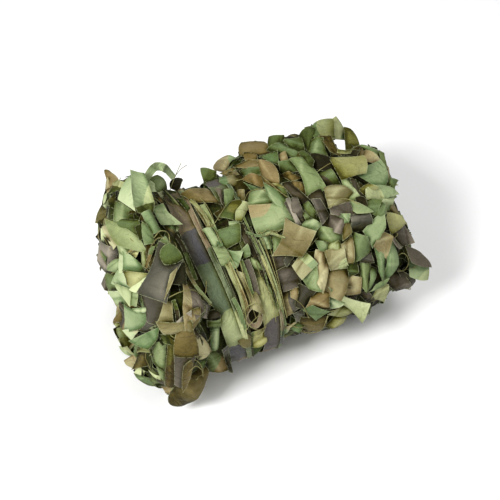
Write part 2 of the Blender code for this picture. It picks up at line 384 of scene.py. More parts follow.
def camo_material(name, green=GREEN, light=LIGHT, brown=BROWN, dark=DARK,
                  scale=13.0, rough=0.6, edge_width=0.0008, crisp=0.014):
    """Woodland-printed cloth: four dyed colours, a pale cut edge that is partly a painted highlight, fine creases, and
    painted light and shade.
    """
    mat, tree, shader = new_material(name)
    n = Nodes(tree)
    cloth = n.attribute("cloth").outputs["Vector"]
    tone = n.make("ShaderNodeSeparateXYZ")
    n.link(n.attribute("tone").outputs["Vector"], tone.inputs[0])
    edge = n.attribute("edge").outputs["Fac"]
    shade = n.attribute("shade").outputs["Fac"]

    def blotch(shift, bias, level, k):
        field = n.noise(n.stretch(cloth, (1, 1, 1), shift), scale * k, 1.6, 0.45, 0.35)
        value = n.math("ADD", field, n.math("MULTIPLY", bias, 0.6))
        return n.ramp(value, level - crisp, level + crisp)

    colour = n.mix(blotch((0.0, 0.3, 0.1), tone.outputs[0], 0.565, 0.8), green, light)
    colour = n.mix(blotch((1.7, 0.9, 0.4), tone.outputs[1], 0.555, 0.9), colour, brown)
    darker = blotch((3.1, 2.2, 0.8), tone.outputs[2], 0.590, 0.85)
    colour = n.mix(darker, colour, dark)
    # no two leaves have taken the dye alike: some are yellower, some bluer
    lot = n.make("ShaderNodeTexWhiteNoise", noise_dimensions="1D")
    split = n.make("ShaderNodeSeparateXYZ")
    n.link(cloth, split.inputs[0])
    n.link(split.outputs[2], lot.inputs["W"])
    colour = n.mix(n.ramp(lot.outputs["Value"], 0.55, 1.0), colour, (1.14, 1.05, 0.90), "MULTIPLY")
    colour = n.mix(n.ramp(lot.outputs["Value"], 0.45, 0.0), colour, (0.74, 0.87, 0.80), "MULTIPLY")
    # and dye lies unevenly
    mottle = n.noise(cloth, 95.0, 4.0, 0.65)
    crease = n.noise(n.stretch(cloth, (1.0, 3.0, 1.0)), 80.0, 2.0, 0.55, 0.9)
    value = n.math("ADD", n.math("MULTIPLY", n.math("SUBTRACT", mottle, 0.5), 0.50), 0.84)
    # the crease term darkens the valleys of the bumped creases and lightens their ridges: painted shade and light
    value = n.math("ADD", value, n.math("MULTIPLY", n.math("SUBTRACT", crease, 0.5), 0.22))
    slub = n.noise(n.stretch(cloth, (1.0, 1.5, 1.0)), 620.0, 2.0, 0.7)
    value = n.math("ADD", value, n.math("MULTIPLY", n.math("SUBTRACT", slub, 0.5), 0.50))
    # the shade value makes the colour paler or deeper: dye, with painted light and painted shade
    value = n.math("ADD", value, n.math("MULTIPLY", shade, 0.255))
    value = n.math("MINIMUM", n.math("MAXIMUM", value, 0.13), 1.75)
    # paler and greyer where the shade value is high: painted highlight, and faded dye
    colour = n.mix(n.math("MULTIPLY", n.ramp(shade, 0.5, 4.4), 0.55), colour,
                   n.mix(darker, FADED_AND_LIT, FADED_DARK_AND_LIT))
    # warmer, deeper olive where the shade value is low: painted shadow
    colour = n.mix(n.ramp(shade, 0.1, -3.2), colour, (1.07, 0.99, 0.08), "MULTIPLY")
    colour = n.mix(1.0, colour, value, "MULTIPLY")
    # pale cut edge: the undyed cut, and a painted highlight where edges catch the light
    rim = n.ramp(edge, edge_width, edge_width * 0.4)
    fray = n.noise(cloth, 420.0, 1.0)
    rim = n.math("MULTIPLY", rim, n.ramp(fray, 0.35, 0.55))
    colour = n.mix(n.math("MULTIPLY", rim, 0.32), colour, CUT_EDGE_AND_HIGHLIGHT)
    n.link(colour, shader.inputs["Base Color"])
    # crumples, fine parallel creases, and the weave
    crumple = n.noise(n.stretch(cloth, (1, 1, 1)), 85.0, 3.0, 0.6, 0.8)
    # sharp folds run where a slow field crosses its middle
    fold = n.noise(n.stretch(cloth, (1.0, 1.6, 1.0), (4.0, 1.0, 0.0)), 38.0, 1.5, 0.5, 0.6)
    fold = n.ramp(n.math("ABSOLUTE", n.math("SUBTRACT", fold, 0.5)), 0.0, 0.085)
    weave_a = n.make("ShaderNodeTexWave", wave_type="BANDS", bands_direction="X")
    weave_b = n.make("ShaderNodeTexWave", wave_type="BANDS", bands_direction="Y")
    for w in (weave_a, weave_b):
        w.inputs["Scale"].default_value = 560.0
        w.inputs["Distortion"].default_value = 0.4
        n.link(cloth, w.inputs["Vector"])
    weave = n.math("MULTIPLY", n.math("ADD", weave_a.outputs["Fac"], weave_b.outputs["Fac"]), 0.5)
    bump_a = n.make("ShaderNodeBump")
    bump_a.inputs["Strength"].default_value = 0.85
    bump_a.inputs["Distance"].default_value = 0.0032
    height = n.math("ADD", n.math("MULTIPLY", crumple, 0.75), n.math("MULTIPLY", crease, 0.35))
    n.link(n.math("ADD", height, n.math("MULTIPLY", fold, 0.28)), bump_a.inputs["Height"])
    bump_b = n.make("ShaderNodeBump")
    bump_b.inputs["Strength"].default_value = 0.35
    bump_b.inputs["Distance"].default_value = 0.00012
    n.link(weave, bump_b.inputs["Height"])
    n.link(bump_a.outputs[0], bump_b.inputs["Normal"])
    n.link(bump_b.outputs[0], shader.inputs["Normal"])
    shader.inputs["Roughness"].default_value = rough
    shader.inputs["Specular IOR Level"].default_value = 0.09
    shader.inputs["Sheen Weight"].default_value = 0.03
    shader.inputs["Sheen Tint"].default_value = (0.80, 0.85, 0.45, 1)
    shader.inputs["Sheen Roughness"].default_value = 0.4
    return mat


def core_material():
    """The shaded inside of the bundle: deeper turns of the same cloth, painted in the dark colours of shade."""
    mat, tree, shader = new_material("net_core_cloth")
    n = Nodes(tree)
    where = n.make("ShaderNodeTexCoord").outputs["Object"]
    patch = n.noise(where, 45.0, 2.0, 0.5, 0.8)
    fine = n.noise(where, 260.0, 3.0, 0.6)
    colour = n.mix(n.ramp(patch, 0.46, 0.5), linear(44, 39, 16), linear(56, 62, 24))
    colour = n.mix(n.ramp(fine, 0.4, 0.7), colour, linear(28, 25, 9))
    n.link(colour, shader.inputs["Base Color"])
    bump = n.make("ShaderNodeBump")
    bump.inputs["Strength"].default_value = 0.8
    bump.inputs["Distance"].default_value = 0.003
    n.link(fine, bump.inputs["Height"])
    n.link(bump.outputs[0], shader.inputs["Normal"])
    shader.inputs["Roughness"].default_value = 0.85
    shader.inputs["Specular IOR Level"].default_value = 0.08
    return mat


def cord_material(name, base, pale):
    """Thin twisted net cord."""
    mat, tree, shader = new_material(name)
    n = Nodes(tree)
    where = n.make("ShaderNodeTexCoord").outputs["Object"]
    patch = n.noise(where, 60.0, 1.0)
    fine = n.noise(where, 900.0, 2.0)
    colour = n.mix(n.ramp(patch, 0.35, 0.65), base, pale)
    colour = n.mix(n.ramp(fine, 0.35, 0.75), colour, tuple(0.55 * c for c in base))
    n.link(colour, shader.inputs["Base Color"])
    bump = n.make("ShaderNodeBump")
    bump.inputs["Strength"].default_value = 0.6
    bump.inputs["Distance"].default_value = 0.0004
    n.link(fine, bump.inputs["Height"])
    n.link(bump.outputs[0], shader.inputs["Normal"])
    shader.inputs["Roughness"].default_value = 0.8
    shader.inputs["Specular IOR Level"].default_value = 0.15
    return mat


leaf_cloth = camo_material("net_leaf_cloth")
band_cloth = camo_material("band_strip_cloth", linear(94, 104, 78), linear(136, 142, 98), linear(120, 106, 84),
                           linear(84, 81, 82), scale=12.0, rough=0.58, crisp=0.007)
core_cloth = core_material()
net_cord = cord_material("net_cord_olive", linear(120, 112, 66), linear(160, 160, 104))


# ------------------------------------------------------------------ the core
def build_core():
    """The wound inside, drawn in under the leaves."""
    mesh = roll.data.copy()
    mesh.name = "net_core"
    mesh.materials.clear()
    mesh.materials.append(core_cloth)
    obj = bpy.data.objects.new("net_core", mesh)
    bpy.context.scene.collection.objects.link(obj)
    bm = bmesh.new()
    bm.from_mesh(mesh)
    bmesh.ops.remove_doubles(bm, verts=bm.verts, dist=1e-6)
    bm.to_mesh(mesh)
    bm.free()
    co = np.array([v.co for v in mesh.vertices])
    hole_ray = ray_at(342, 144)      # under the leaf that curls over
    new = []
    for p in co:
        away = max(WAIST[0] - p[0], p[0] - WAIST[1], 0.0)
        depth = 0.0042 + 0.0118 * min(1.0, away / 0.02)
        off = Vector(p) - EYE
        hollow = (off - hole_ray * off.dot(hole_ray)).length
        depth += 0.016 * max(0.0, 1.0 - hollow / 0.036)
        n = soft_normal(Vector(p))
        q = Vector(p) - n * depth
        q.z = max(q.z, 0.0015)
        new.append(q)
    for v, q in zip(mesh.vertices, new):
        v.co = q
    mesh.shade_smooth()
    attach(obj, "root")
    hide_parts("net_roll")
    return obj


build_core()


GROUPS = 18
heaps = [Heap(f"leaves_{k + 1:02d}") for k in range(GROUPS)]


# ---------------------------------------------------------- leaves set one by one
# The outer leaves of the side that is seen first. Each is a cloth patch given
# by four corners in the 500-pixel frame, in order round it, then the print's
# colours (one letter, or one a corner: g green, l light, b brown, d dark), how
# far up the heap it lies, in millimetres, and what else shapes it:
#   up, side   the leaf tips to face further up or to the right, in degrees
#   h          heights of the corners above the leaf's plane, in millimetres
#   cv, cu     arch across the first edge, and along the leaf, in millimetres
#   e          how far each edge bows out, as a share of its length
#   s          paler (+) or deeper (-): dye, with painted light and shade
#   on         it lies on the leaves set just before it, this many millimetres up
LETTER = {"g": "green", "l": "light", "b": "brown", "d": "dark"}

PATCH_COLUMNS = ("corners", "colours", "lift", "shape")
LEFT_LOBE = (
    (((104, 180), (110, 179), (113, 191), (102, 194)), "b", 2, dict(s=2.0, side=-10)),
    (((105, 171), (110, 171), (120, 183), (110, 185)), "b", 6, dict(cv=2, e=(.2, .05, 0, .05), up=6)),
    (((112, 183), (118, 180), (126, 183), (121, 193)), "l", 4, dict(s=.1, cu=1.5)),
    (((130, 171), (134, 209), (119, 199), (125, 182)), "gggg", 12, dict(s=3.2, crease=0, curl=.3, side=-22, up=6, e=(0, 0, .04, 0))),
    (((130, 170), (144, 174), (154, 203), (134, 206)), "gglg", 13, dict(s=2.0, crease=0, curl=.3, cv=-4, e=(.10, 0, .03, 0), up=10, side=0, h=(0, 1, 2, 0))),
    (((147, 179), (151, 181), (160, 191), (149, 191)), "g", 3, dict(s=1.5)),
    (((148, 181), (153, 182), (177, 199), (165, 201)), "l", 9, dict(s=3.8, e=(0, .03, 0, .03), crease=.3, curl=.3, up=6)),
    (((163, 189), (176, 192), (185, 199), (170, 198)), "g", 3, dict(s=-2.9, crease=.3, curl=.3)),
    (((150, 181), (158, 175), (168, 188), (159, 191)), "g", 5, dict(s=1.3, e=(.1, .18, 0, 0), cv=2)),
    (((171, 188), (176, 177), (183, 180), (179, 191)), "d", 4, dict(s=-5.5, cv=2, e=(.2, .2, 0, 0), crease=0, curl=.2)),
    (((101, 200), (110, 193), (112, 207), (106, 211)), "g", 9, dict(s=4, e=(.12, 0, .12, .1), cv=2, side=-12)),
    (((101, 204), (108, 210), (104, 226), (95, 223)), "b", 5, dict(s=-.8, side=-18, up=-10)),
    (((113, 201), (122, 203), (137, 219), (117, 221)), "gggg", 6, dict(s=.4, cv=-2.5, side=6)),
    (((105, 215), (117, 211), (118, 220), (108, 222)), "l", 8, dict(s=1.5, cv=1.5)),
    (((136, 208), (153, 204), (152, 214), (138, 213)), "g", 5, dict(s=-.9, up=-16)),
    (((106, 221), (138, 220), (144, 240), (112, 229)), "g", 14, dict(s=-1.7, up=8, cu=2, crease=.3, curl=.4)),
    (((106, 220), (139, 238), (145, 251), (117, 244)), "l", 17, dict(s=0.2, up=8, side=0, e=(.03, 0, .03, .05), cu=1.5, crease=.2, curl=.3)),
    (((134, 227), (143, 224), (146, 238), (140, 240)), "g", 12, dict(s=-4.4, on=5.0, up=4, crease=.3, curl=.4)),
    (((116, 242), (134, 250), (128, 257), (119, 253)), "g", 7, dict(s=3.0)),
    (((142, 222), (149, 227), (154, 243), (144, 244)), "g", 9, dict(s=-1.8, cv=2)),
    (((142, 214), (150, 210), (160, 228), (152, 233)), "g", 9, dict(s=-1.6, cv=4, e=(0, 0, .15, 0))),
    (((154, 209), (162, 206), (179, 226), (160, 226)), "gggg", 14, dict(s=3.2, crease=.4, curl=.4, cv=-4, up=8, side=4)),
    (((154, 215), (160, 219), (178, 227), (176, 231)), "g", 10, dict(s=2.6, cu=2, up=-6)),
    (((159, 222), (177, 228), (182, 243), (168, 236)), "gggd", 4, dict(s=-1.2, up=-12)),
    (((160, 188), (172, 196), (196, 222), (182, 219)), "gddg", 4, dict(s=-.8, cv=2)),
    (((148, 190), (157, 193), (176, 214), (171, 216)), "bbdd", 5, dict(s=-1.7, cv=1.5)),
    (((176, 196), (184, 199), (197, 214), (193, 219)), "g", 10, dict(s=-3.4, cv=2, crease=.4, curl=.3)),
    (((100, 229), (104, 230), (113, 247), (103, 246)), "l", 5, dict(s=3.2, side=-20, e=(0, 0, .1, .1))),
    (((103, 228), (109, 226), (117, 243), (112, 248)), "b", 7, dict(s=1.6, cv=1.5)),
    (((98, 239), (117, 248), (109, 274), (96, 261)), "d", 5, dict(s=3.0, side=-16, up=4)),
    (((107, 270), (110, 263), (120, 260), (118, 272)), "g", 6, dict(s=1.2, e=(.1, .1, 0, 0), cv=2)),
    (((106, 274), (119, 271), (121, 291), (108, 292)), "g", 4, dict(s=.2, cv=2)),
    (((101, 284), (107, 274), (108, 291), (105, 290)), "d", 3, dict(s=.8, side=-15)),
    (((110, 291), (121, 291), (127, 301), (114, 302)), "g", 5, dict(s=2.8, e=(0, 0, .15, .15), cv=2)),
    (((118, 252), (125, 254), (124, 271), (118, 272)), "g", 10, dict(s=4.2, cv=2)),
    (((123, 252), (133, 258), (147, 275), (123, 272)), "g", 12, dict(s=1.8, up=-4, side=8, crease=0, curl=.3)),
    (((123, 271), (147, 274), (134, 290), (127, 284)), "l", 14, dict(s=.8, up=-6, side=0, cu=-2, crease=0, curl=.3)),
    (((118, 271), (124, 271), (131, 290), (112, 283)), "g", 13, dict(s=3.2, side=-8, up=4, crease=0, curl=.3)),
    (((113, 283), (131, 289), (130, 306), (121, 294)), "g", 12, dict(s=2.6, side=-6, up=0, crease=.3, curl=.4)),
    (((130, 289), (146, 274), (153, 276), (137, 292)), "l", 20, dict(s=4.6, up=6, side=0, crease=0, curl=.2)),
    (((133, 290), (138, 291), (137, 306), (130, 305)), "g", 9, dict(s=1.7)),
    (((127, 252), (139, 250), (134, 262), (130, 258)), "l", 6, dict(s=3.1)),
    (((141, 253), (147, 251), (145, 269), (140, 264)), "l", 7, dict(s=-1.0, cv=3)),
    (((148, 252), (153, 253), (149, 267), (145, 269)), "b", 6, dict(s=.8, cv=2.5)),
    (((158, 243), (181, 260), (166, 301), (137, 291)), "d", 12, dict(s=1.0, up=4, side=-6, cv=3, cu=2, e=(.05, -.04, 0, -.09), crease=.6, curl=.4)),
    (((137, 286), (168, 292), (155, 323), (147, 321)), "d", 15, dict(s=.6, up=2, side=-4, cv=3, e=(0, .05, 0, -.05), crease=.4, curl=.2)),
    (((147, 318), (157, 319), (149, 332), (138, 330)), "d", 14, dict(s=.2, up=-4, side=-4, cv=1, e=(0, .12, .05, -.12), crease=0, curl=.3)),
    (((171, 270), (184, 262), (187, 284), (172, 283)), "d", 9, dict(s=-2.4, up=0, side=8, cv=2, crease=.4, curl=.4)),
    (((161, 251), (170, 244), (182, 258), (165, 264)), "g", 14, dict(s=-1.1, on=2.5, e=(.14, .10, .14, .12), cv=2, up=0, side=0, crease=0, curl=.2)),
    (((177, 268), (170, 275), (164, 301), (169, 290)), "b", 14, dict(s=1.0, on=1.5, up=0, side=-6, e=(0, 0, 0, .03), crease=0, curl=.1)),
    (((138, 296), (141, 297), (150, 309), (142, 309)), "g", 6, dict(s=.4, cv=1.5)),
    (((126, 305), (146, 309), (150, 326), (124, 332)), "gggg", 11, dict(s=3.0, e=(-.10, -.04, 0, -.06), up=4, crease=.4, curl=.4)),
    (((124, 330), (150, 325), (159, 327), (132, 340)), "gddg", 11, dict(s=4.4, e=(0, 0, -.10, -.06), up=-4, crease=.3, curl=.3)),
    (((131, 340), (160, 327), (158, 338), (150, 348)), "g", 12, dict(s=2.6, e=(0, -.05, 0, 0), up=-6, crease=.3, curl=.3)),
    (((133, 308), (145, 308), (146, 313), (136, 313)), "g", 12, dict(s=2.9)),
    (((111, 323), (124, 306), (126, 321), (113, 325)), "b", 9, dict(s=-2.0, side=-10, crease=.3, curl=.3)),
    (((111, 324), (126, 321), (117, 329), (114, 328)), "l", 6, dict(s=.8, up=-14)),
    (((116, 331), (123, 329), (128, 346), (119, 351)), "l", 5, dict(s=-.2, e=(.15, .1, .15, .15), cv=3, up=-16)),
    (((118, 347), (128, 344), (134, 356), (128, 357)), "g", 6, dict(s=4.0, up=-16)),
    (((125, 360), (138, 351), (137, 358), (132, 369)), "b", 7, dict(s=1.4, side=-14)),
    (((138, 351), (149, 353), (147, 366), (133, 369)), "b", 10, dict(s=-2.2, up=-12)),
    (((138, 345), (152, 348), (150, 353), (136, 352)), "l", 9, dict(s=-1.5, cv=2)),
    (((133, 374), (139, 368), (152, 366), (149, 377)), "l", 7, dict(s=4.3, up=-16, cu=2)),
    (((133, 374), (150, 378), (164, 385), (147, 387)), "g", 5, dict(s=.4, e=(0, 0, .12, .05), up=-24)),
    (((148, 371), (160, 377), (160, 380), (153, 377)), "l", 9, dict(s=2)),
    (((149, 350), (156, 351), (163, 371), (150, 360)), "g", 6, dict(s=-2.6, cv=2)),
    (((152, 344), (166, 341), (165, 381), (159, 373)), "g", 16, dict(s=.6, cv=3, up=-8, crease=.2, curl=.2)),
    (((168, 341), (177, 346), (176, 384), (164, 387)), "lbbb", 13, dict(s=-5.0, cv=5, up=-12, e=(.1, .05, .12, 0), crease=.2, curl=.2)),
    (((156, 334), (168, 334), (176, 346), (164, 343)), "g", 8, dict(s=-2.6, cv=3)),
    (((164, 302), (172, 303), (173, 324), (157, 324)), "b", 17, dict(s=.5, up=4, side=0, crease=0, curl=.1, e=(0, 0, 0, -.04))),
    (((157, 322), (191, 321), (192, 331), (164, 334)), "b", 17, dict(s=-.2, e=(-.05, 0, .03, 0), cu=2.5, up=-2, side=0, crease=0, curl=.1)),
    (((190, 311), (200, 308), (199, 321), (191, 333)), "b", 17, dict(s=.2, e=(.04, .06, 0, 0), up=2, side=2, crease=0, curl=.1)),
    (((177, 322), (191, 311), (191, 324), (178, 324)), "d", 15, dict(s=3.2, crease=0, curl=.2)),
    (((190, 331), (199, 335), (211, 351), (198, 358)), "b", 14, dict(s=1.3, e=(0, .06, .12, .06), cv=2, up=-6, side=6, crease=0, curl=.4)),
    (((178, 332), (192, 331), (198, 355), (175, 356)), "b", 13, dict(s=-3.2, cv=5, up=-6, side=-4, e=(0, .05, .04, .05), crease=0, curl=.2)),
    (((174, 355), (197, 354), (186, 388), (175, 384)), "d", 11, dict(s=-1.4, cv=4, up=-8, side=-6, crease=0, curl=.2)),
    (((184, 367), (194, 361), (190, 379), (183, 391)), "b", 13, dict(s=-1.9, on=2.0, up=-10, side=0, crease=0, curl=.4)),
    (((203, 371), (209, 378), (182, 410), (169, 399)), "b", 6, dict(s=-2.6, e=(.2, .1, .32, .12), cv=6, up=-16, side=-6, crease=.6, curl=.3)),
    (((162, 385), (182, 386), (177, 392), (165, 394)), "b", 4, dict(s=.2, up=-22)),
    (((211, 351), (221, 347), (230, 371), (202, 371)), "gdbg", 8, dict(s=.1, up=-16)),
    (((220, 347), (227, 343), (231, 369), (228, 370)), "d", 10, dict(s=-1.5, up=-10)),
    (((198, 357), (210, 352), (203, 368), (198, 362)), "g", 9, dict(s=-2.0, up=-14)),
    (((211, 325), (220, 324), (220, 347), (211, 349)), "g", 11, dict(s=2.3, cv=4.5, e=(0, 0, .1, 0))),
    (((208, 321), (220, 319), (221, 326), (208, 327)), "g", 13, dict(s=.2, cv=4)),
    (((207, 320), (211, 311), (219, 312), (220, 320)), "d", 12, dict(s=-3.5, cv=4, e=(.1, .15, .1, 0))),
    (((184, 283), (197, 290), (204, 310), (185, 329)), "bddb", 12, dict(s=2.6, e=(0, .04, 0, .04))),
    (((172, 283), (184, 284), (185, 320), (172, 320)), "g", 3, dict(s=-3.0, cv=2)),
    (((198, 300), (212, 303), (208, 318), (198, 316)), "d", 6, dict(s=.6)),
)
WAIST_LEAVES = (
    (((181, 195), (206, 188), (224, 205), (192, 202)), "b", 12, dict(s=-0.5, e=(.10, .05, -.05, -.08), cu=2, up=10)),
    (((214, 214), (223, 208), (225, 217), (219, 220)), "b", 9, dict(s=-2.0)),
    (((215, 188), (222, 190), (226, 207), (221, 205)), "d", 12, dict(s=.1, cv=1.5)),
    (((224, 190), (233, 189), (230, 213), (222, 214)), "g", 13, dict(s=-1.0, cv=2)),
    (((236, 190), (244, 190), (243, 200), (237, 198)), "b", 11, dict(s=-1.5)),
    (((230, 202), (241, 200), (238, 221), (219, 217)), "glgg", 16, dict(s=-2.7, side=-4, crease=.4, curl=.4)),
    (((240, 200), (250, 204), (242, 221), (236, 220)), "l", 17, dict(s=-.7, side=6, cv=.5, crease=0, curl=.3)),
    (((215, 231), (239, 223), (240, 241), (225, 249)), "g", 12, dict(s=-.2, cv=-2, up=-8)),
    (((229, 222), (239, 222), (240, 229), (231, 229)), "g", 14, dict(s=.7, up=8)),
    (((203, 230), (211, 228), (223, 246), (214, 249)), "g", 12, dict(s=.6, cv=1, crease=.4, curl=.3)),
    (((213, 247), (225, 247), (235, 268), (224, 270)), "g", 15, dict(s=-.3, cv=1.5, e=(0, 0, -.06, 0))),
    (((224, 248), (243, 251), (238, 265), (233, 268)), "g", 16, dict(s=.8, e=(-.12, 0, .1, 0), up=6)),
    (((240, 252), (247, 244), (250, 256), (241, 259)), "g", 14, dict(s=.4, e=(0, .08, 0, 0))),
    (((249, 256), (256, 259), (268, 269), (256, 271)), "g", 11, dict(s=.7, cv=1.5)),
    (((260, 238), (270, 236), (272, 248), (264, 249)), "g", 11, dict(s=.8)),
    (((236, 272), (246, 275), (263, 313), (249, 306)), "b", 9, dict(s=.8, cv=2.5, e=(0, .05, 0, 0))),
    (((236, 340), (250, 329), (251, 346), (243, 347)), "b", 14, dict(s=.1, cv=2, e=(.1, 0, .1, 0), crease=.3, curl=.2)),
    (((251, 332), (262, 330), (266, 341), (252, 347)), "gllg", 9, dict(s=-.9, cv=3, e=(.1, .12, .12, 0))),
    (((247, 346), (263, 346), (254, 355), (243, 358)), "g", 4, dict(s=-.4, up=-20)),
)
RIGHT_TOP = (
    (((241, 142), (264, 141), (268, 152), (242, 155)), "b", 9, dict(s=.2, e=(.06, .08, .05, .10), cu=4, up=10, side=0, crease=0, curl=.1)),
    (((244, 153), (256, 154), (257, 159), (246, 161)), "b", 5, dict(s=-2.0, cv=2)),
    (((217, 157), (234, 157), (245, 164), (218, 169)), "bggb", 7, dict(s=1, e=(.12, .06, .12, .4), cu=3, up=12)),
    (((200, 167), (216, 172), (214, 184), (204, 182)), "g", 7, dict(s=-2.5, cv=-1.5)),
    (((203, 180), (213, 180), (216, 189), (204, 188)), "g", 4, dict(s=-4)),
    (((211, 181), (217, 174), (221, 180), (216, 189)), "g", 8, dict(s=-3.6, cv=3)),
    (((221, 174), (233, 167), (241, 176), (230, 177)), "b", 9, dict(s=.1)),
    (((220, 177), (241, 176), (240, 188), (222, 190)), "gbbg", 8, dict(s=.3, cv=2)),
    (((234, 167), (249, 160), (263, 160), (262, 169)), "bbgb", 7, dict(s=.0, e=(.05, 0, .05, 0), up=6)),
    (((239, 170), (261, 168), (259, 174), (243, 175)), "g", 7, dict(s=-1.3, cv=2)),
    (((241, 179), (251, 173), (264, 177), (261, 187)), "b", 9, dict(s=-.8, e=(.06, 0, .1, 0), cu=2)),
    (((243, 182), (257, 187), (263, 192), (251, 191)), "g", 7, dict(s=-.3)),
    (((262, 157), (277, 150), (279, 165), (268, 161)), "g", 6, dict(s=-.6, up=-4)),
    (((258, 161), (270, 163), (278, 184), (264, 185)), "b", 12, dict(s=0.0, e=(.08, .12, 0, 0), cv=2.5, side=-6)),
    (((266, 183), (280, 184), (288, 197), (272, 190)), "blgb", 9, dict(s=.2)),
    (((269, 137), (284, 136), (284, 143), (270, 147)), "g", 5, dict(s=-1.7, e=(.06, 0, 0, .1))),
    (((283, 141), (289, 135), (296, 138), (291, 143)), "d", 5, dict(s=-4.5, e=(.15, .1, 0, 0), cv=2)),
    (((268, 148), (284, 140), (303, 154), (298, 158)), "ggg", 8, dict(s=-.7, e=(.06, 0, 0, .05), cu=1.5)),
    (((284, 142), (301, 136), (305, 151), (298, 155)), "g", 9, dict(s=-2.5, up=4)),
    (((299, 138), (309, 125), (316, 131), (309, 152)), "g", 6, dict(s=-1.9, e=(.10, .1, 0, 0), cv=3)),
    (((311, 139), (323, 138), (329, 156), (309, 151)), "g", 10, dict(s=.6, side=-6)),
    (((312, 128), (334, 118), (334, 137), (316, 137)), "gllg", 14, dict(s=-.6, side=-6, e=(.16, 0, -.06, .10), cv=3, up=8, crease=0, curl=.2)),
    (((332, 119), (336, 116), (347, 139), (332, 138)), "llgl", 13, dict(s=2.2, e=(0, .07, 0, 0), cv=1, curl=.1, up=0, side=12, crease=0)),
    (((344, 126), (351, 129), (359, 148), (346, 150)), "l", 10, dict(s=-4.2, e=(0, .12, .05, 0), cv=1, curl=.1, up=0, side=10, crease=0)),
    (((319, 137), (331, 136), (341, 155), (330, 152)), "b", 8, dict(s=-1.8, cv=-2, curl=.3, crease=.4)),
    (((340, 151), (358, 150), (357, 157), (339, 156)), "d", 5, dict(s=-4.4, curl=.1, crease=0)),
    (((278, 155), (285, 151), (288, 160), (283, 167)), "b", 8, dict(s=-0.3, cv=1.5)),
    (((279, 163), (291, 160), (301, 171), (280, 173)), "g", 6, dict(s=-1.4, cu=2)),
    (((279, 174), (289, 171), (302, 177), (291, 182)), "b", 5, dict(s=-1.5)),
    (((290, 159), (303, 158), (325, 186), (306, 196)), "g", 12, dict(s=.9, e=(.04, .05, .04, -.08), cv=2, cu=2)),
    (((299, 153), (305, 150), (314, 161), (312, 170)), "g", 9, dict(s=-2.9, cv=2)),
    (((311, 154), (329, 156), (338, 171), (314, 168)), "d", 6, dict(s=-3.4)),
    (((313, 168), (331, 169), (346, 191), (325, 185)), "gggd", 9, dict(s=-.8, cv=1.5, e=(.06, 0, 0, .04))),
    (((282, 184), (291, 181), (309, 199), (300, 205)), "d", 11, dict(s=-1.0, cv=2)),
    (((290, 181), (303, 183), (307, 197), (298, 190)), "b", 8, dict(s=-2.3)),
    (((331, 156), (363, 156), (365, 172), (343, 179)), "l", 14, dict(s=-1.3, e=(-.06, .10, -.04, .05), cv=3, cu=2, up=2, side=-4, crease=.6, curl=.3)),
    (((351, 170), (381, 160), (389, 177), (383, 189)), "g", 16, dict(s=2.6, e=(-.04, .05, .02, .03), cv=1, cu=3, up=0, side=2, crease=.4, curl=.3)),
    (((360, 158), (366, 149), (380, 159), (377, 163)), "b", 16, dict(s=2, e=(.05, .06, 0, .12), cu=2, up=8, side=0, crease=0, curl=.2)),
    (((358, 147), (375, 145), (382, 158), (366, 151)), "g", 12, dict(s=-.1, e=(.08, .15, 0, 0), cv=4, up=14)),
    (((379, 150), (384, 153), (391, 176), (381, 161)), "g", 11, dict(s=-.7, side=16)),
    (((355, 148), (361, 146), (364, 152), (357, 157)), "b", 12, dict(s=-1.6, cv=3, e=(.1, .1, .1, .1), crease=0, curl=.3)),
    (((386, 187), (390, 178), (399, 180), (393, 192)), "gggg", 8, dict(s=0.0, cv=-2, side=14)),
    (((366, 190), (388, 188), (398, 195), (368, 199)), "lggl", 13, dict(s=.5, e=(.10, 0, .03, .15), cu=2, up=10)),
    (((369, 198), (397, 195), (390, 212), (380, 202)), "g", 12, dict(s=1.5, up=-6)),
    (((364, 198), (382, 200), (377, 215), (361, 208)), "g", 9, dict(s=-.2)),
    (((342, 181), (351, 178), (360, 198), (349, 200)), "g", 11, dict(s=.3, cv=2)),
    (((350, 179), (356, 181), (362, 196), (358, 199)), "d", 9, dict(s=-1)),
    (((360, 190), (369, 184), (379, 187), (366, 196)), "l", 9, dict(s=-2.4, e=(.1, 0, 0, .1))),
    (((325, 188), (339, 186), (357, 198), (329, 208)), "b", 12, dict(s=.5, e=(.06, .12, .10, 0), cu=3, cv=2)),
    (((330, 208), (348, 203), (354, 214), (331, 215)), "d", 10, dict(s=1)),
    (((346, 204), (356, 202), (373, 211), (357, 213)), "g", 13, dict(s=.3, cv=1.5, e=(.06, .04, .05, .04), crease=.3, curl=.4)),
    (((356, 198), (364, 197), (367, 205), (359, 207)), "d", 12, dict(s=-3.9, cv=2, e=(.1, .1, .1, .1))),
)
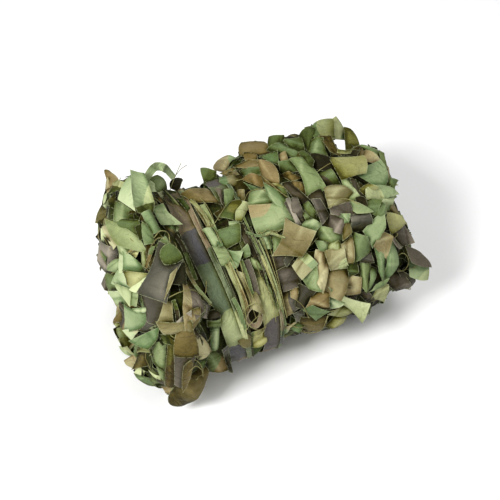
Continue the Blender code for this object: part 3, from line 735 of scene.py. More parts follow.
RIGHT_LOW = (
    (((250, 193), (267, 190), (278, 208), (251, 208)), "g", 13, dict(s=.7, e=(.08, 0, .03, .05), cu=1.5)),
    (((264, 183), (288, 197), (277, 209), (268, 196)), "g", 14, dict(s=0.0, e=(0, .12, 0, 0))),
    (((250, 206), (288, 204), (297, 226), (259, 234)), "bggg", 12, dict(s=2.3, e=(0, .03, -.02, .03), cu=2, cv=1.5, crease=.3, curl=.3)),
    (((284, 203), (296, 196), (306, 220), (298, 226)), "d", 15, dict(s=1.0, cv=3.5, e=(0, 0, .15, 0))),
    (((286, 200), (290, 198), (301, 223), (296, 224)), "d", 17, dict(s=2.6, crease=0, curl=.2)),
    (((297, 200), (306, 199), (321, 222), (308, 215)), "gggg", 9, dict(s=-1.5)),
    (((298, 206), (303, 210), (316, 222), (306, 221)), "g", 10, dict(s=-1.8)),
    (((308, 197), (323, 188), (330, 208), (318, 208)), "d", 10, dict(s=0.0, cv=1.5)),
    (((311, 200), (320, 200), (329, 214), (321, 225)), "d", 12, dict(s=0.0)),
    (((320, 225), (331, 214), (348, 221), (343, 234)), "d", 11, dict(s=1.3, e=(0, 0, 0, .04))),
    (((336, 215), (350, 214), (348, 223), (344, 223)), "g", 13, dict(s=1.3)),
    (((351, 215), (369, 213), (371, 229), (353, 232)), "d", 12, dict(s=.3, e=(0, .08, 0, 0))),
    (((344, 222), (350, 215), (352, 232), (343, 240)), "b", 12, dict(s=.2, cv=2.5)),
    (((302, 227), (311, 219), (321, 225), (314, 233)), "g", 15, dict(s=.3, e=(.14, .1, 0, 0), cv=1.5)),
    (((285, 219), (315, 232), (301, 256), (273, 255)), "b", 14, dict(s=-0.1, e=(-.05, .03, -.04, -.10), up=4, side=-4, crease=0.8, curl=0.9)),
    (((272, 237), (283, 235), (281, 251), (274, 252)), "g", 10, dict(s=.7, cv=1.5)),
    (((284, 260), (290, 249), (297, 252), (287, 267)), "d", 13, dict(s=-.3)),
    (((318, 226), (344, 234), (342, 242), (316, 240)), "g", 12, dict(s=.9, e=(.05, 0, .03, 0))),
    (((315, 241), (329, 242), (326, 251), (319, 250)), "g", 14, dict(s=1.3, crease=.3, curl=.4)),
    (((328, 249), (331, 241), (340, 242), (340, 249)), "l", 14, dict(s=.3, e=(.1, .15, .1, .1), cv=2)),
    (((293, 266), (303, 252), (317, 264), (302, 278)), "blgb", 15, dict(s=1.6, e=(0, .05, 0, .03), cu=2)),
    (((300, 275), (317, 267), (322, 291), (309, 288)), "g", 12, dict(s=1.1, e=(0, -.04, .05, 0), cv=1.5)),
    (((316, 251), (328, 255), (323, 292), (315, 278)), "b", 15, dict(s=1.4, cv=3, e=(.05, .06, 0, .04))),
    (((325, 252), (343, 247), (350, 269), (331, 270)), "bblb", 14, dict(s=1.3, cu=1.5)),
    (((341, 245), (352, 236), (353, 262), (346, 263)), "b", 13, dict(s=.3, side=8)),
    (((330, 267), (349, 271), (340, 300), (322, 292)), "b", 12, dict(s=1.8, cv=2)),
    (((344, 275), (361, 278), (360, 293), (342, 294)), "b", 11, dict(s=1.2, cu=1.5, crease=.3, curl=.4)),
    (((313, 293), (330, 288), (329, 310), (306, 309)), "b", 11, dict(s=-.4, up=-10)),
    (((303, 311), (313, 305), (329, 311), (316, 321)), "g", 9, dict(s=.1, up=-18)),
    (((329, 297), (339, 297), (345, 304), (329, 311)), "g", 8, dict(s=1.9, up=-12)),
    (((329, 287), (371, 304), (362, 323), (339, 302)), "glll", 22, dict(s=1.8, e=(-.05, .03, -.04, 0), cu=2, up=0, side=0, crease=.3, curl=.3)),
    (((328, 314), (344, 305), (352, 312), (340, 317)), "l", 7, dict(s=-.8, up=-22, cv=2)),
    (((324, 327), (331, 317), (348, 318), (337, 328)), "l", 6, dict(s=-2.2, e=(.1, 0, .1, .1), up=-26, cv=3)),
    (((302, 318), (324, 318), (324, 328), (305, 334)), "b", 6, dict(s=-2.3, e=(0, .1, .12, .1), up=-24, cv=4)),
    (((299, 285), (316, 291), (306, 309), (296, 305)), "d", 10, dict(s=-1.6, cv=1.5)),
    (((291, 289), (299, 288), (297, 300), (291, 297)), "b", 12, dict(s=.6, cv=2)),
    (((268, 254), (288, 249), (297, 266), (274, 273)), "dbdd", 7, dict(s=-.5, crease=.8, curl=.3)),
    (((275, 273), (293, 265), (301, 285), (284, 291)), "d", 8, dict(s=.3, crease=.8, curl=.2)),
    (((282, 290), (294, 290), (298, 308), (284, 318)), "bddb", 6, dict(s=.2, up=-8)),
    (((293, 313), (303, 310), (305, 320), (296, 322)), "d", 7, dict(s=.2, up=-14)),
    (((353, 233), (367, 237), (372, 252), (354, 262)), "g", 12, dict(s=.7, cv=1.5, e=(0, 0, 0, 0))),
    (((359, 250), (371, 252), (374, 262), (361, 262)), "d", 9, dict(s=-0.5)),
    (((347, 263), (357, 262), (358, 272), (350, 280)), "g", 9, dict(s=-1.6, cv=-3)),
    (((360, 260), (371, 264), (367, 292), (361, 284)), "g", 12, dict(s=-.1, cv=2.5)),
    (((371, 268), (379, 271), (372, 289), (367, 293)), "g", 13, dict(s=-0.5, cv=2)),
    (((364, 231), (385, 212), (384, 228), (374, 247)), "g", 16, dict(s=2.0, cu=2)),
    (((376, 206), (384, 202), (387, 213), (371, 226)), "g", 13, dict(s=-.8, cv=2)),
    (((386, 213), (401, 216), (408, 223), (391, 234)), "l", 14, dict(s=1.1, e=(.05, 0, .02, 0), cu=1.5)),
    (((392, 231), (407, 224), (413, 243), (402, 246)), "d", 12, dict(s=.4, side=10)),
    (((391, 206), (395, 203), (401, 217), (390, 215)), "b", 9, dict(s=.3, side=14)),
    (((380, 232), (392, 237), (388, 258), (374, 246)), "b", 14, dict(s=.4, cv=-2.5, e=(.06, 0, 0, 0))),
    (((374, 246), (387, 257), (385, 285), (379, 272)), "g", 15, dict(s=.3, cv=2)),
    (((387, 257), (393, 239), (398, 264), (384, 284)), "g", 15, dict(s=.6, cv=2.5, e=(0, .08, .05, 0))),
    (((406, 246), (415, 249), (433, 267), (413, 262)), "d", 10, dict(s=-1.2, up=6, side=8)),
    (((411, 261), (432, 266), (430, 280), (410, 276)), "gglg", 10, dict(s=1.5, cv=4, e=(0, .2, .05, 0), side=10)),
    (((385, 281), (399, 273), (413, 290), (396, 291)), "d", 10, dict(s=.5, up=-8)),
    (((398, 271), (410, 276), (415, 288), (405, 284)), "d", 11, dict(s=-1.2, e=(.05, .15, 0, 0), cv=2)),
    (((378, 287), (388, 285), (385, 304), (371, 299)), "l", 11, dict(s=.5, up=-10, e=(0, .04, -.06, 0))),
    (((370, 292), (376, 285), (389, 279), (383, 287)), "g", 12, dict(s=-.7, cv=1.5)),
    (((359, 294), (368, 291), (375, 300), (369, 303)), "d", 13, dict(s=-.8, up=-12)),
)


def toward(px, py):
    """Where the ray through a point of the frame meets the roll, or passes it."""
    ray = ray_at(px, py)
    hit, _, _, _ = roll_tree.ray_cast(EYE, ray)
    if hit is not None:
        return hit
    best, found = 1e9, None
    for k in range(60):
        p = EYE + ray * (0.80 + 0.01 * k)
        near, _, _, gap = roll_tree.find_nearest(p)
        if gap < best:
            best, found = gap, p
    return found


def leaf_plane(px, py, lift, up, side, face=0.35):
    """A plane for a leaf at a point of the frame: its origin and its normal."""
    at = toward(px, py)
    view = (EYE - at).normalized()
    normal = soft_normal(at)
    if normal.dot(view) < 0:
        normal = (normal - view * normal.dot(view)).normalized()
    normal = (normal + view * face).normalized()
    right = RIGHT
    top = view.cross(RIGHT).normalized()
    normal = (normal + top * math.tan(math.radians(up)) + right * math.tan(math.radians(side))).normalized()
    if normal.dot(view) < 0.45:
        normal = (normal + view * 0.4).normalized()
    return at + view * lift, normal


def on_plane(px, py, origin, normal, height=0.0):
    """Where the ray through a point of the frame meets the plane, raised."""
    ray = ray_at(px, py)
    o = origin + normal * height
    return EYE + ray * ((o - EYE).dot(normal) / ray.dot(normal))


def corner_tones(colours):
    """The print's bias at four corners; green gives way where colours meet."""
    names = [LETTER[c] for c in (colours * 4 if len(colours) == 1 else (colours + colours[-1] * 3)[:4])]
    mixed = len(set(names)) > 1
    return [np.array(TONES[name]) * (0.4 if mixed and name == "green" else 1.0) for name in names]


# The bundle's outline in the frame, clockwise from its upper left corner.
OUTLINE = np.array((
    (103, 180), (105, 170), (113, 173), (122, 182), (131, 168), (144, 173), (156, 168), (168, 170),
    (183, 181), (190, 187), (207, 187), (201, 168), (217, 171), (217, 157), (236, 157), (241, 145),
    (253, 139), (267, 146), (269, 137), (290, 134), (298, 137), (309, 126), (331, 120), (336, 116),
    (348, 129), (358, 140), (360, 148), (373, 144), (386, 157), (391, 177), (399, 181), (394, 207),
    (402, 215), (409, 223), (414, 248), (432, 265), (431, 280), (416, 281), (414, 290), (388, 291),
    (385, 304), (373, 304), (364, 325), (350, 313), (337, 329), (301, 333), (270, 342), (244, 358),
    (231, 370), (205, 372), (192, 400), (178, 410), (168, 400), (160, 388), (148, 387), (133, 376),
    (125, 361), (126, 350), (117, 346), (111, 321), (118, 308), (106, 291), (102, 285), (106, 274),
    (96, 261), (98, 240), (95, 224), (101, 204),
), float)


# The hole under the leaf that curls over at the upper right.
HOLE = np.array(((336, 141), (341, 138), (346, 139), (348, 144), (348, 149), (343, 150), (338, 149)), float)


def in_frame(points):
    """Where points in space fall in the frame."""
    d = np.asarray(points, float) - np.array(EYE)
    deep = -(d @ np.array(BACK))
    return np.stack([FRAME_PX / 2 + FOCAL_PX * (d @ np.array(RIGHT)) / deep,
                     FRAME_PX / 2 - FOCAL_PX * (d @ np.array(UP)) / deep], -1)


def within(px, loop):
    a, b = loop, np.roll(loop, -1, axis=0)
    x, y = px[:, 0][:, None], px[:, 1][:, None]
    cross = (a[:, 1] > y) != (b[:, 1] > y)
    edge_x = a[:, 0] + (y - a[:, 1]) * (b[:, 0] - a[:, 0]) / (b[:, 1] - a[:, 1] + 1e-9)
    return (cross & (x < edge_x)).sum(1) % 2 == 1


def share_outside(points):
    """The share of points that fall outside the outline or in the hole."""
    px = in_frame(points).reshape(-1, 2)
    return 1.0 - (within(px, OUTLINE) & ~within(px, HOLE)).mean()


key_points = []
set_sheets = []                  # grids of the listed sheets


def cloth_patch(rng, corners, n, colours, shape, nu, nv):
    """A leaf between four corners of a plane: edges, arch, creases and curls.

    Gives its grid in the plane, its height over it, its flat cut, tone, and its dye with painted light and shade.
    """
    a, b, c, d = corners
    middle = (a + b + c + d) / 4
    u, v = np.linspace(0, 1, nu), np.linspace(0, 1, nv)

    def edge_line(p, q, bow, t):
        line = p[None] * (1 - t[:, None]) + q[None] * t[:, None]
        if bow:
            along = q - p
            out = np.cross(along, n)
            if np.dot(out, (p + q) / 2 - middle) < 0:
                out = -out
            line = line + out[None] * (bow * np.sin(np.pi * t) ** (0.8 if bow > 0 else 1.0))[:, None]
        return line

    bows = [bow if "e" in shape else rng.uniform(-0.06, 0.07) for bow in shape.get("e", (0, 0, 0, 0))]
    ab, dc = edge_line(a, b, bows[0], v), edge_line(d, c, bows[2], v)
    ad, bc = edge_line(a, d, bows[3], u), edge_line(b, c, bows[1], u)
    U, V = u[:, None, None], v[None, :, None]
    grid = ((1 - U) * ab[None] + U * dc[None] + (1 - V) * ad[:, None] + V * bc[:, None]
            - ((1 - U) * (1 - V) * a + (1 - U) * V * b + U * V * c + U * (1 - V) * d))
    # the flat cut lies in the leaf's own plane
    ex = (b - a) / max(np.linalg.norm(b - a), 1e-6)
    ex = ex - n * ex.dot(n)
    ex /= np.linalg.norm(ex)
    ey = np.cross(n, ex)
    flat = np.stack([(grid - middle) @ ex, (grid - middle) @ ey], 2)
    across, along = np.linalg.norm(b - a + c - d) / 2, np.linalg.norm(d - a + c - b) / 2
    uu, vv = U[..., 0] + 0 * V[..., 0], V[..., 0] + 0 * U[..., 0]
    height = (shape.get("cv", 0.0) * 0.001 * (4 * vv * (1 - vv) - 0.6)
              + shape.get("cu", 0.0) * 0.001 * (4 * uu * (1 - uu) - 0.6))
    # cloth bends one way at a time, so the leaf is arched across one direction
    # and rolls over at its ends there
    lean = rng.choice((0.0, math.pi / 2)) + rng.normal(0, 0.3)
    line = flat @ np.array((math.cos(lean), math.sin(lean)))
    span = float(line.max() - line.min())
    t = (line - line.min()) / max(span, 1e-6)
    height = height + span * rng.uniform(-0.07, 0.15) * (4 * t * (1 - t) - 0.6)
    for axis in (t, 1 - t):
        if rng.random() < 0.5:
            start = rng.uniform(0.45, 0.8)
            past = np.clip((axis - start) / (1 - start), 0, 1)
            height = height - span * rng.uniform(0.10, 0.45) * (1 - start) * 1.7 * past ** 2 * min(1.0, shape.get("curl", 1.0))
    # most have kept a crease the same way, some another across it
    small = min(across, along)
    for chance, wander, steep in ((shape.get("crease", 0.75), 0.35, 0.55),
                                  (0.45 * shape.get("crease", 0.75), 1.5, 0.32)):
        if rng.random() < chance:
            way = lean + rng.normal(0, wander)
            off = flat @ np.array((math.cos(way), math.sin(way))) - rng.uniform(-0.28, 0.28) * small
            slope = rng.choice((-1, -1, 1)) * rng.uniform(0.15, steep)
            soft = rng.uniform(0.0004, 0.0014)
            ridge = slope * (np.sqrt(off ** 2 + soft ** 2) - 0.22 * small)
            height = height + np.clip(ridge, -0.007, 0.007)
    du, dv = along / (nu - 1), across / (nv - 1)
    padded = np.pad(height, 1, mode="reflect", reflect_type="odd")
    bent = ((padded[2:, 1:-1] - 2 * height + padded[:-2, 1:-1]) / du ** 2
            + (padded[1:-1, 2:] - 2 * height + padded[1:-1, :-2]) / dv ** 2)
    seed = Vector(rng.uniform(0, 50, 3))
    ripple = np.zeros(flat.shape[:2])
    for i in range(nu):
        for j in range(nv):
            p = Vector((flat[i, j, 0], flat[i, j, 1], 0.0))
            ripple[i, j] = 0.0011 * noise.noise(p / 0.016 + seed)
    height = height + ripple
    # a corner or two curls up or down
    size = max(np.linalg.norm(c - a), np.linalg.norm(d - b))
    reach = min(0.0075, 0.20 * size) * shape.get("curl", 1.0)
    for share in ((1 - uu) * (1 - vv), (1 - uu) * vv, uu * vv, uu * (1 - vv)):
        if rng.random() < 0.45:
            height = height + rng.uniform(-1.0, 1.0) * reach * np.clip((share - 0.2) / 0.8, 0, 1) ** 1.2
    tones = corner_tones(colours)
    tone = ((1 - U) * (1 - V) * tones[0] + (1 - U) * V * tones[1] + U * V * tones[2] + U * (1 - V) * tones[3])
    tone = tone * (1.0 if len(set(colours)) == 1 else 0.85)
    # painted light and shade lie unevenly: a slow drift over the leaf, painted shadow
    # along edges that run in under their neighbours, paler ridges and darker folds
    drift = rng.uniform(-2.1, 1.9, 4)
    shade = (drift[0] * (1 - uu) * (1 - vv) + drift[1] * (1 - uu) * vv + drift[2] * uu * vv
             + drift[3] * uu * (1 - vv)) + shape.get("s", 0.0) + 0.15
    for axis in (uu, 1 - uu, vv, 1 - vv):
        if rng.random() < 0.36:
            shade = shade - rng.uniform(1.2, 3.4) * np.clip(1 - axis / rng.uniform(0.15, 0.40), 0, 1) ** 1.5
    shade = shade - np.clip(bent * 0.006, -1.3, 1.3)
    return grid, height, flat, tone, shade, middle, size


def dyed(rng, flat):
    """The flat cut laid somewhere on the printed cloth."""
    shift = rng.uniform(0, 8, 3)
    return np.concatenate([flat + shift[:2], np.full(flat.shape[:2] + (1,), shift[2])], 2)


def tree_of(sheets):
    points, faces, count = [], [], 0
    for mid in sheets:
        nu, nv = mid.shape[:2]
        index = np.arange(nu * nv).reshape(nu, nv) + count
        faces.append(np.stack([index[:-1, :-1], index[1:, :-1], index[1:, 1:], index[:-1, 1:]], -1).reshape(-1, 4))
        points.append(mid.reshape(-1, 3))
        count += nu * nv
    return BVHTree.FromPolygons(np.concatenate(points).tolist(), np.concatenate(faces).tolist())


def patch_leaf(rng, heap, corners, colours, lift, shape, nu=17, nv=13):
    cx = sum(c[0] for c in corners) / 4.0
    cy = sum(c[1] for c in corners) / 4.0
    high = min(lift, 12.0) + 0.45 * max(0.0, lift - 12.0) - 5.5
    origin, normal = leaf_plane(cx, cy, high * 0.001,
                                shape.get("up", rng.uniform(-11, 10)), shape.get("side", rng.uniform(-11, 11)))
    if "on" in shape:
        hit, face, _, _ = tree_of(set_sheets[-12:]).ray_cast(EYE, ray_at(cx, cy))
        if hit is not None:
            normal = face if face.dot(EYE - hit) > 0 else -face
            origin = hit + normal * (shape["on"] * 0.001)
    heights = shape.get("h", (0, 0, 0, 0))
    inner = [share_outside(toward(cx + (x - cx) * 1.3, cy + (y - cy) * 1.3)) < 0.5 for x, y in corners]
    corners = [(cx + (x - cx) * (1.10 if ok else 1.0), cy + (y - cy) * (1.10 if ok else 1.0))
               for (x, y), ok in zip(corners, inner)]
    corners = [np.array(on_plane(x, y, origin, normal, h * 0.001))
               for (x, y), h in zip(corners, heights)]
    n = np.array(normal)
    grid, height, flat, tone, shade, middle, size = cloth_patch(rng, corners, n, colours, shape, nu, nv)
    sight = np.array((EYE - Vector(middle)).normalized())
    mid = keep_in(grid + (0.5 * n + 0.5 * sight)[None, None] * height[..., None])
    heap.add(mid, flat, tone, shade, edge_distance(flat), dyed(rng, flat))
    key_points.append((Vector(middle), size * 0.5))
    set_sheets.append(mid)


def set_leaves():
    k = 0
    for part, rows in enumerate((LEFT_LOBE, WAIST_LEAVES, RIGHT_TOP, RIGHT_LOW)):
        for i, row in enumerate(rows):
            patch_leaf(np.random.default_rng((part + 1) * 1000 + i), heaps[k % GROUPS], *row)
            k += 1


# ------------------------------------------------------ strips and net cords
def smooth_line(points, count):
    """A smooth line through points, evenly stepped."""
    p = np.array(points, float)
    if len(p) == 2:
        p = np.array([p[0], (p[0] * 2 + p[1]) / 3, (p[0] + p[1] * 2) / 3, p[1]])
    full = np.concatenate([[2 * p[0] - p[1]], p, [2 * p[-1] - p[-2]]])
    out = []
    for i in range(1, len(full) - 2):
        a, b, c, d = full[i - 1:i + 3]
        for t in np.linspace(0, 1, 12, endpoint=False):
            out.append(0.5 * (2 * b + (c - a) * t + (2 * a - 5 * b + 4 * c - d) * t * t
                              + (3 * b - a - 3 * c + d) * t ** 3))
    out.append(p[-1])
    out = np.array(out)
    run = np.concatenate([[0], np.cumsum(np.linalg.norm(np.diff(out, axis=0), axis=1))])
    at = np.linspace(0, run[-1], count)
    return np.stack([np.interp(at, run, out[:, k]) for k in range(out.shape[1])], 1), run[-1]


def on_roll(path, count):
    """A line through (x, y, height in millimetres) points of the frame, in space."""
    line, _ = smooth_line(path, count)
    spots = []
    for px, py, height in line:
        at = toward(px, py)
        spots.append(at + (EYE - at).normalized() * (height * 0.001))
    spots, run = smooth_line(spots, count)
    for _ in range(2):
        spots[1:-1] = (spots[:-2] + 2 * spots[1:-1] + spots[2:]) / 4
    return spots, run


def ribbon(rng, heap, path, width, colours, face=(0, 0), shade=0.0, cup=0.0, nu=29, nv=6, taper=(1, 1)):
    """A narrow strip of cloth along a line; face 0 lies flat to view, 90 on edge."""
    spots, run = on_roll(path, nu)
    tangent = np.gradient(spots, axis=0)
    tangent /= np.linalg.norm(tangent, axis=1, keepdims=True)
    view = np.array(EYE) - spots
    view /= np.linalg.norm(view, axis=1, keepdims=True)
    side = np.cross(tangent, view)
    side /= np.linalg.norm(side, axis=1, keepdims=True)
    out = np.cross(side, tangent)
    u = np.linspace(0, 1, nu)
    turn = np.radians(face[0] + (face[1] - face[0]) * u)[:, None]
    across = side * np.cos(turn) + out * np.sin(turn)
    lift = np.cross(tangent, across)
    v = np.linspace(-1, 1, nv)
    w = (width * (taper[0] + (taper[1] - taper[0]) * u))[:, None]
    seed = rng.uniform(0, 50)
    wave = np.array([[noise.noise(Vector((run * a / 0.012, b * 0.7, seed))) for b in v] for a in u])
    mid = (spots[:, None] + across[:, None] * (w * v[None] / 2)[..., None]
           + lift[:, None] * (cup * (1 - v[None] ** 2) + 0.0012 * wave)[..., None])
    flat = np.stack(np.broadcast_arrays((u * run)[:, None], w * v[None] / 2), 2)
    tones = corner_tones(colours)
    tone = (1 - u)[:, None, None] * tones[0] + u[:, None, None] * tones[-1] + 0 * v[None, :, None]
    shift = rng.uniform(0, 8, 3)
    cloth = np.concatenate([flat + shift[:2], np.full((nu, nv, 1), shift[2])], 2)
    heap.add(keep_in(mid), flat, tone, shade, edge_distance(flat), cloth)


# strips: path of (x, y, height in mm), width in mm, colours, face, dye with painted light and shade, cup in mm
RIBBON_COLUMNS = ("path", "width", "colours", "face", "shade", "cup")
RIBBONS = (
    # the arch and the ring that stand off the upper edge
    (((145, 181, 4), (151, 171, 4), (158, 166, 3), (166, 169, 2), (174, 178, 2)), 10, "gg", (-30, 40), 2.8, 1.0),
    (((358, 147, 4), (352, 151, 5), (345, 152, 6), (337, 151, 7)), 5, "ll", (0, 25), -.6, .6),
    (((358, 154, 6), (359, 149, 4), (363, 148, 3), (363, 153, 4)), 8, "bg", (60, 60), -1.0, 0.0),
    # pale folded strips beside the bands
    (((243, 216, 8), (254, 240, 9), (266, 268, 9), (276, 292, 9), (284, 322, 8)), 2.8, "gl", (0, 30), 0.1, 0.5),
    (((250, 226, 7), (262, 256, 8), (272, 282, 8), (280, 312, 7)), 3, "dg", (20, 0), -1.2, 0.4),
    (((262, 252, 9), (272, 276, 9), (279, 298, 9), (286, 326, 7)), 2.8, "lg", (0, 20), 0.3, 0.4),
    (((240, 224, 5), (249, 243, 5), (258, 258, 5), (270, 284, 5)), 9, "dd", (0, 0), -0.5, 0.5),
    (((222, 252, 6), (231, 275, 6), (241, 297, 6), (247, 328, 5)), 4, "ll", (0, 15), 0.3, 0.5),
    (((229, 262, 8), (237, 280, 8), (245, 300, 8), (248, 312, 7)), 4, "lb", (10, 0), 0.0, 0.4),
    (((202, 204, 6), (211, 222, 7), (221, 246, 7)), 6, "lg", (0, 20), 0.2, 0.8),
    (((196, 206, 6), (206, 222, 7), (216, 240, 7)), 5, "bb", (10, 0), 0.2, 0.8),
    (((190, 200, 6), (198, 207, 7), (206, 218, 8), (210, 230, 7)), 4, "ll", (0, 30), -0.5, 0.5),
    (((246, 260, 6), (252, 276, 6), (257, 296, 6)), 8, "dd", (0, 0), 0.6, 0.5),
    (((241, 260, 7), (248, 278, 7), (252, 292, 8), (259, 302, 8)), 4, "gg", (0, 20), -0.8, 0.5),
    (((233, 298, 6), (240, 312, 7), (245, 330, 6)), 5, "gg", (0, 0), 0.2, 0.5),
    # strips that show in the dark between the left lobe's leaves
    (((180, 258, 5), (188, 272, 5), (196, 286, 6), (211, 304, 6)), 4, "bl", (0, 25), 0.6, 0.5),
    (((170, 228, 4), (181, 243, 4), (189, 262, 4), (196, 280, 4)), 5, "dg", (0, 10), -0.8, 0.5),
    (((153, 246, 5), (150, 255, 5), (146, 268, 5)), 4, "gb", (0, 10), 0.0, 0.5),
    (((173, 300, 3), (177, 312, 3), (178, 322, 3)), 5, "gd", (0, 0), -1.6, 0.5),
    (((192, 318, 5), (195, 330, 5), (203, 342, 4), (209, 350, 4)), 4, "dd", (0, 30), -1.0, 0.5),
    (((196, 322, 3), (203, 334, 3), (207, 346, 3)), 5, "gd", (0, 0), -1.6, 0.5),
    (((393, 238, 6), (396, 243, 7), (401, 249, 6)), 4, "dd", (0, 0), 2.4, 0.5),
    (((246, 232, 8), (258, 236, 10), (270, 233, 12), (285, 238, 12)), 3, "gl", (0, 40), 0.0, 0.4),
    # dark twisted ones between the bands
    (((245, 228, 8), (252, 242, 9), (259, 254, 9), (266, 268, 8)), 2.2, "dd", (20, 60), -1.6, 0.3),
    (((249, 226, 9), (255, 238, 10), (261, 250, 9), (270, 270, 8)), 2, "dd", (60, 0), -2.0, 0.3),
    (((252, 240, 8), (261, 262, 9), (268, 284, 8), (276, 306, 8)), 2, "dg", (0, 50), -1.4, 0.3),
    (((258, 240, 10), (266, 258, 10), (275, 282, 10), (283, 308, 9)), 1.8, "ll", (30, 0), -0.3, 0.3),
)

# net cord seen between the leaves: path as above, and radius in mm
CORD_COLUMNS = ("path", "radius")
CORDS = (
    (((168, 298, 8), (180, 292, 11), (193, 290, 10), (204, 297, 8), (212, 306, 7)), 0.5),
    (((170, 190, 6), (174, 179, 8), (177, 172, 8), (181, 163, 6)), 0.4),
    (((176, 175, 8), (181, 169, 8), (187, 165, 6)), 0.4),
    (((244, 201, 9), (249, 192, 13), (261, 189, 14), (268, 193, 10)), 0.5),
    (((330, 208, 14), (337, 200, 17), (347, 199, 17), (359, 204, 14)), 0.6),
    (((397, 256, 6), (404, 253, 8), (409, 261, 8), (405, 270, 7), (398, 271, 5)), 0.5),
    (((299, 331, 4), (312, 333, 6), (322, 329, 8), (328, 316, 8)), 0.6),
    (((186, 364, 8), (193, 359, 10), (201, 365, 9), (203, 376, 7)), 0.5),
    (((189, 372, 7), (196, 366, 9), (203, 371, 8)), 0.5),
    (((154, 238, 7), (160, 231, 8), (168, 233, 6), (170, 243, 4)), 0.5),
    (((151, 246, 6), (158, 238, 7), (167, 240, 5)), 0.5),
    (((226, 205, 10), (214, 224, 9), (206, 226, 7)), 0.4),
    (((262, 176, 10), (273, 186, 12), (287, 197, 12)), 0.4),
    (((240, 262, 9), (246, 282, 9), (256, 304, 9), (262, 318, 8)), 0.5),
    (((256, 262, 8), (262, 280, 8), (273, 300, 9), (276, 322, 8)), 0.4),
    (((198, 205, 8), (204, 214, 9), (214, 228, 9), (221, 243, 8)), 0.4),
    (((182, 216, 6), (172, 205, 6), (158, 196, 6), (150, 190, 5)), 0.4),
    (((296, 300, 10), (303, 306, 11), (309, 318, 9)), 0.5),
    (((101, 226, 4), (104, 238, 5), (111, 250, 5)), 0.4),
    # fine strands drawn along with the bands
    (((224, 250, 9), (234, 274, 9), (243, 298, 9), (247, 322, 7)), 0.4),
    (((228, 252, 9), (240, 276, 10), (250, 300, 9), (256, 318, 7)), 0.35),
    (((231, 266, 9), (238, 284, 9), (247, 308, 9), (246, 330, 7)), 0.35),
    (((256, 226, 9), (264, 246, 10), (272, 266, 10), (282, 296, 9)), 0.4),
    (((262, 236, 9), (268, 254, 10), (276, 278, 10), (284, 310, 9)), 0.4),
    (((268, 240, 9), (274, 262, 10), (279, 282, 10), (287, 318, 8)), 0.35),
    (((257, 228, 10), (262, 233, 12), (268, 229, 13), (275, 233, 13), (282, 229, 12)), 0.4),
    (((260, 233, 10), (267, 236, 12), (274, 230, 13), (280, 236, 13), (286, 233, 11)), 0.35),
    (((191, 196, 7), (199, 206, 8), (206, 215, 8), (213, 227, 8)), 0.35),
    (((196, 195, 7), (205, 203, 9), (211, 213, 9), (214, 222, 8)), 0.35),
    # and those caught in the tie
    (((244, 318, 10), (250, 326, 13), (258, 330, 13), (266, 327, 11)), 0.45),
    (((246, 331, 9), (252, 322, 12), (259, 315, 13), (263, 305, 11)), 0.4),
    (((243, 313, 10), (248, 306, 12), (256, 303, 13), (263, 309, 12), (266, 321, 11), (262, 334, 9)), 0.45),
    (((247, 334, 9), (254, 338, 10), (262, 334, 10), (267, 324, 9)), 0.4),
)


def set_strips():
    rng = np.random.default_rng(17)
    for k, row in enumerate(RIBBONS):
        r = dict(zip(RIBBON_COLUMNS, row))
        ribbon(rng, heaps[(k * 5) % GROUPS], r["path"], r["width"] * 0.001, r["colours"], r["face"],
               r["shade"], r["cup"] * 0.001)


class Cordage:
    """Collects thin round cords and joins them into one mesh."""

    def __init__(self):
        self.points, self.faces, self.cloth, self.count = [], [], [], 0

    def add(self, line, radius, sides=6, closed=False):
        n = len(line)
        if closed:
            tangent = np.roll(line, -1, axis=0) - np.roll(line, 1, axis=0)
        else:
            tangent = np.gradient(line, axis=0)
        tangent /= np.maximum(np.linalg.norm(tangent, axis=1, keepdims=True), 1e-9)
        normal = np.zeros((n, 3))
        start = np.cross(tangent[0], (0, 0, 1.0))
        if np.linalg.norm(start) < 0.1:
            start = np.cross(tangent[0], (1.0, 0, 0))
        normal[0] = start / np.linalg.norm(start)
        for k in range(1, n):
            a = normal[k - 1] - tangent[k] * normal[k - 1].dot(tangent[k])
            normal[k] = a / max(np.linalg.norm(a), 1e-9)
        other = np.cross(tangent, normal)
        run = np.concatenate([[0], np.cumsum(np.linalg.norm(np.diff(line, axis=0), axis=1))])
        angle = 2 * np.pi * np.arange(sides) / sides
        ring = (line[:, None] + radius * (normal[:, None] * np.cos(angle)[None, :, None]
                                          + other[:, None] * np.sin(angle)[None, :, None]))
        index = np.arange(n * sides).reshape(n, sides) + self.count
        rows = n if closed else n - 1
        for k in range(rows):
            a, b = index[k], index[(k + 1) % n]
            self.faces += [(a[j], a[(j + 1) % sides], b[(j + 1) % sides], b[j]) for j in range(sides)]
        if not closed:
            self.faces += [tuple(index[0][::-1]), tuple(index[-1])]
        self.points.append(ring.reshape(-1, 3))
        self.cloth.append(np.stack([np.repeat(run, sides), np.tile(angle * radius, n),
                                    np.zeros(n * sides)], 1))
        self.count += n * sides

    def build(self, name, material):
        mesh = bpy.data.meshes.new(name)
        mesh.from_pydata(np.concatenate(self.points).tolist(), [], [tuple(int(i) for i in f) for f in self.faces])
        layer = mesh.attributes.new("cloth", "FLOAT_VECTOR", "POINT")
        layer.data.foreach_set("vector", np.concatenate(self.cloth).astype(np.float32).ravel())
        mesh.shade_smooth()
        mesh.set_sharp_from_angle(angle=math.radians(60))
        mesh.materials.append(material)
        obj = bpy.data.objects.new(name, mesh)
        bpy.context.scene.collection.objects.link(obj)
        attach(obj, "root")
        return obj


net_cords = Cordage()


def set_cords():
    for path, radius in CORDS:
        line, _ = on_roll(path, 26)
        net_cords.add(keep_in(line), radius * 0.001)


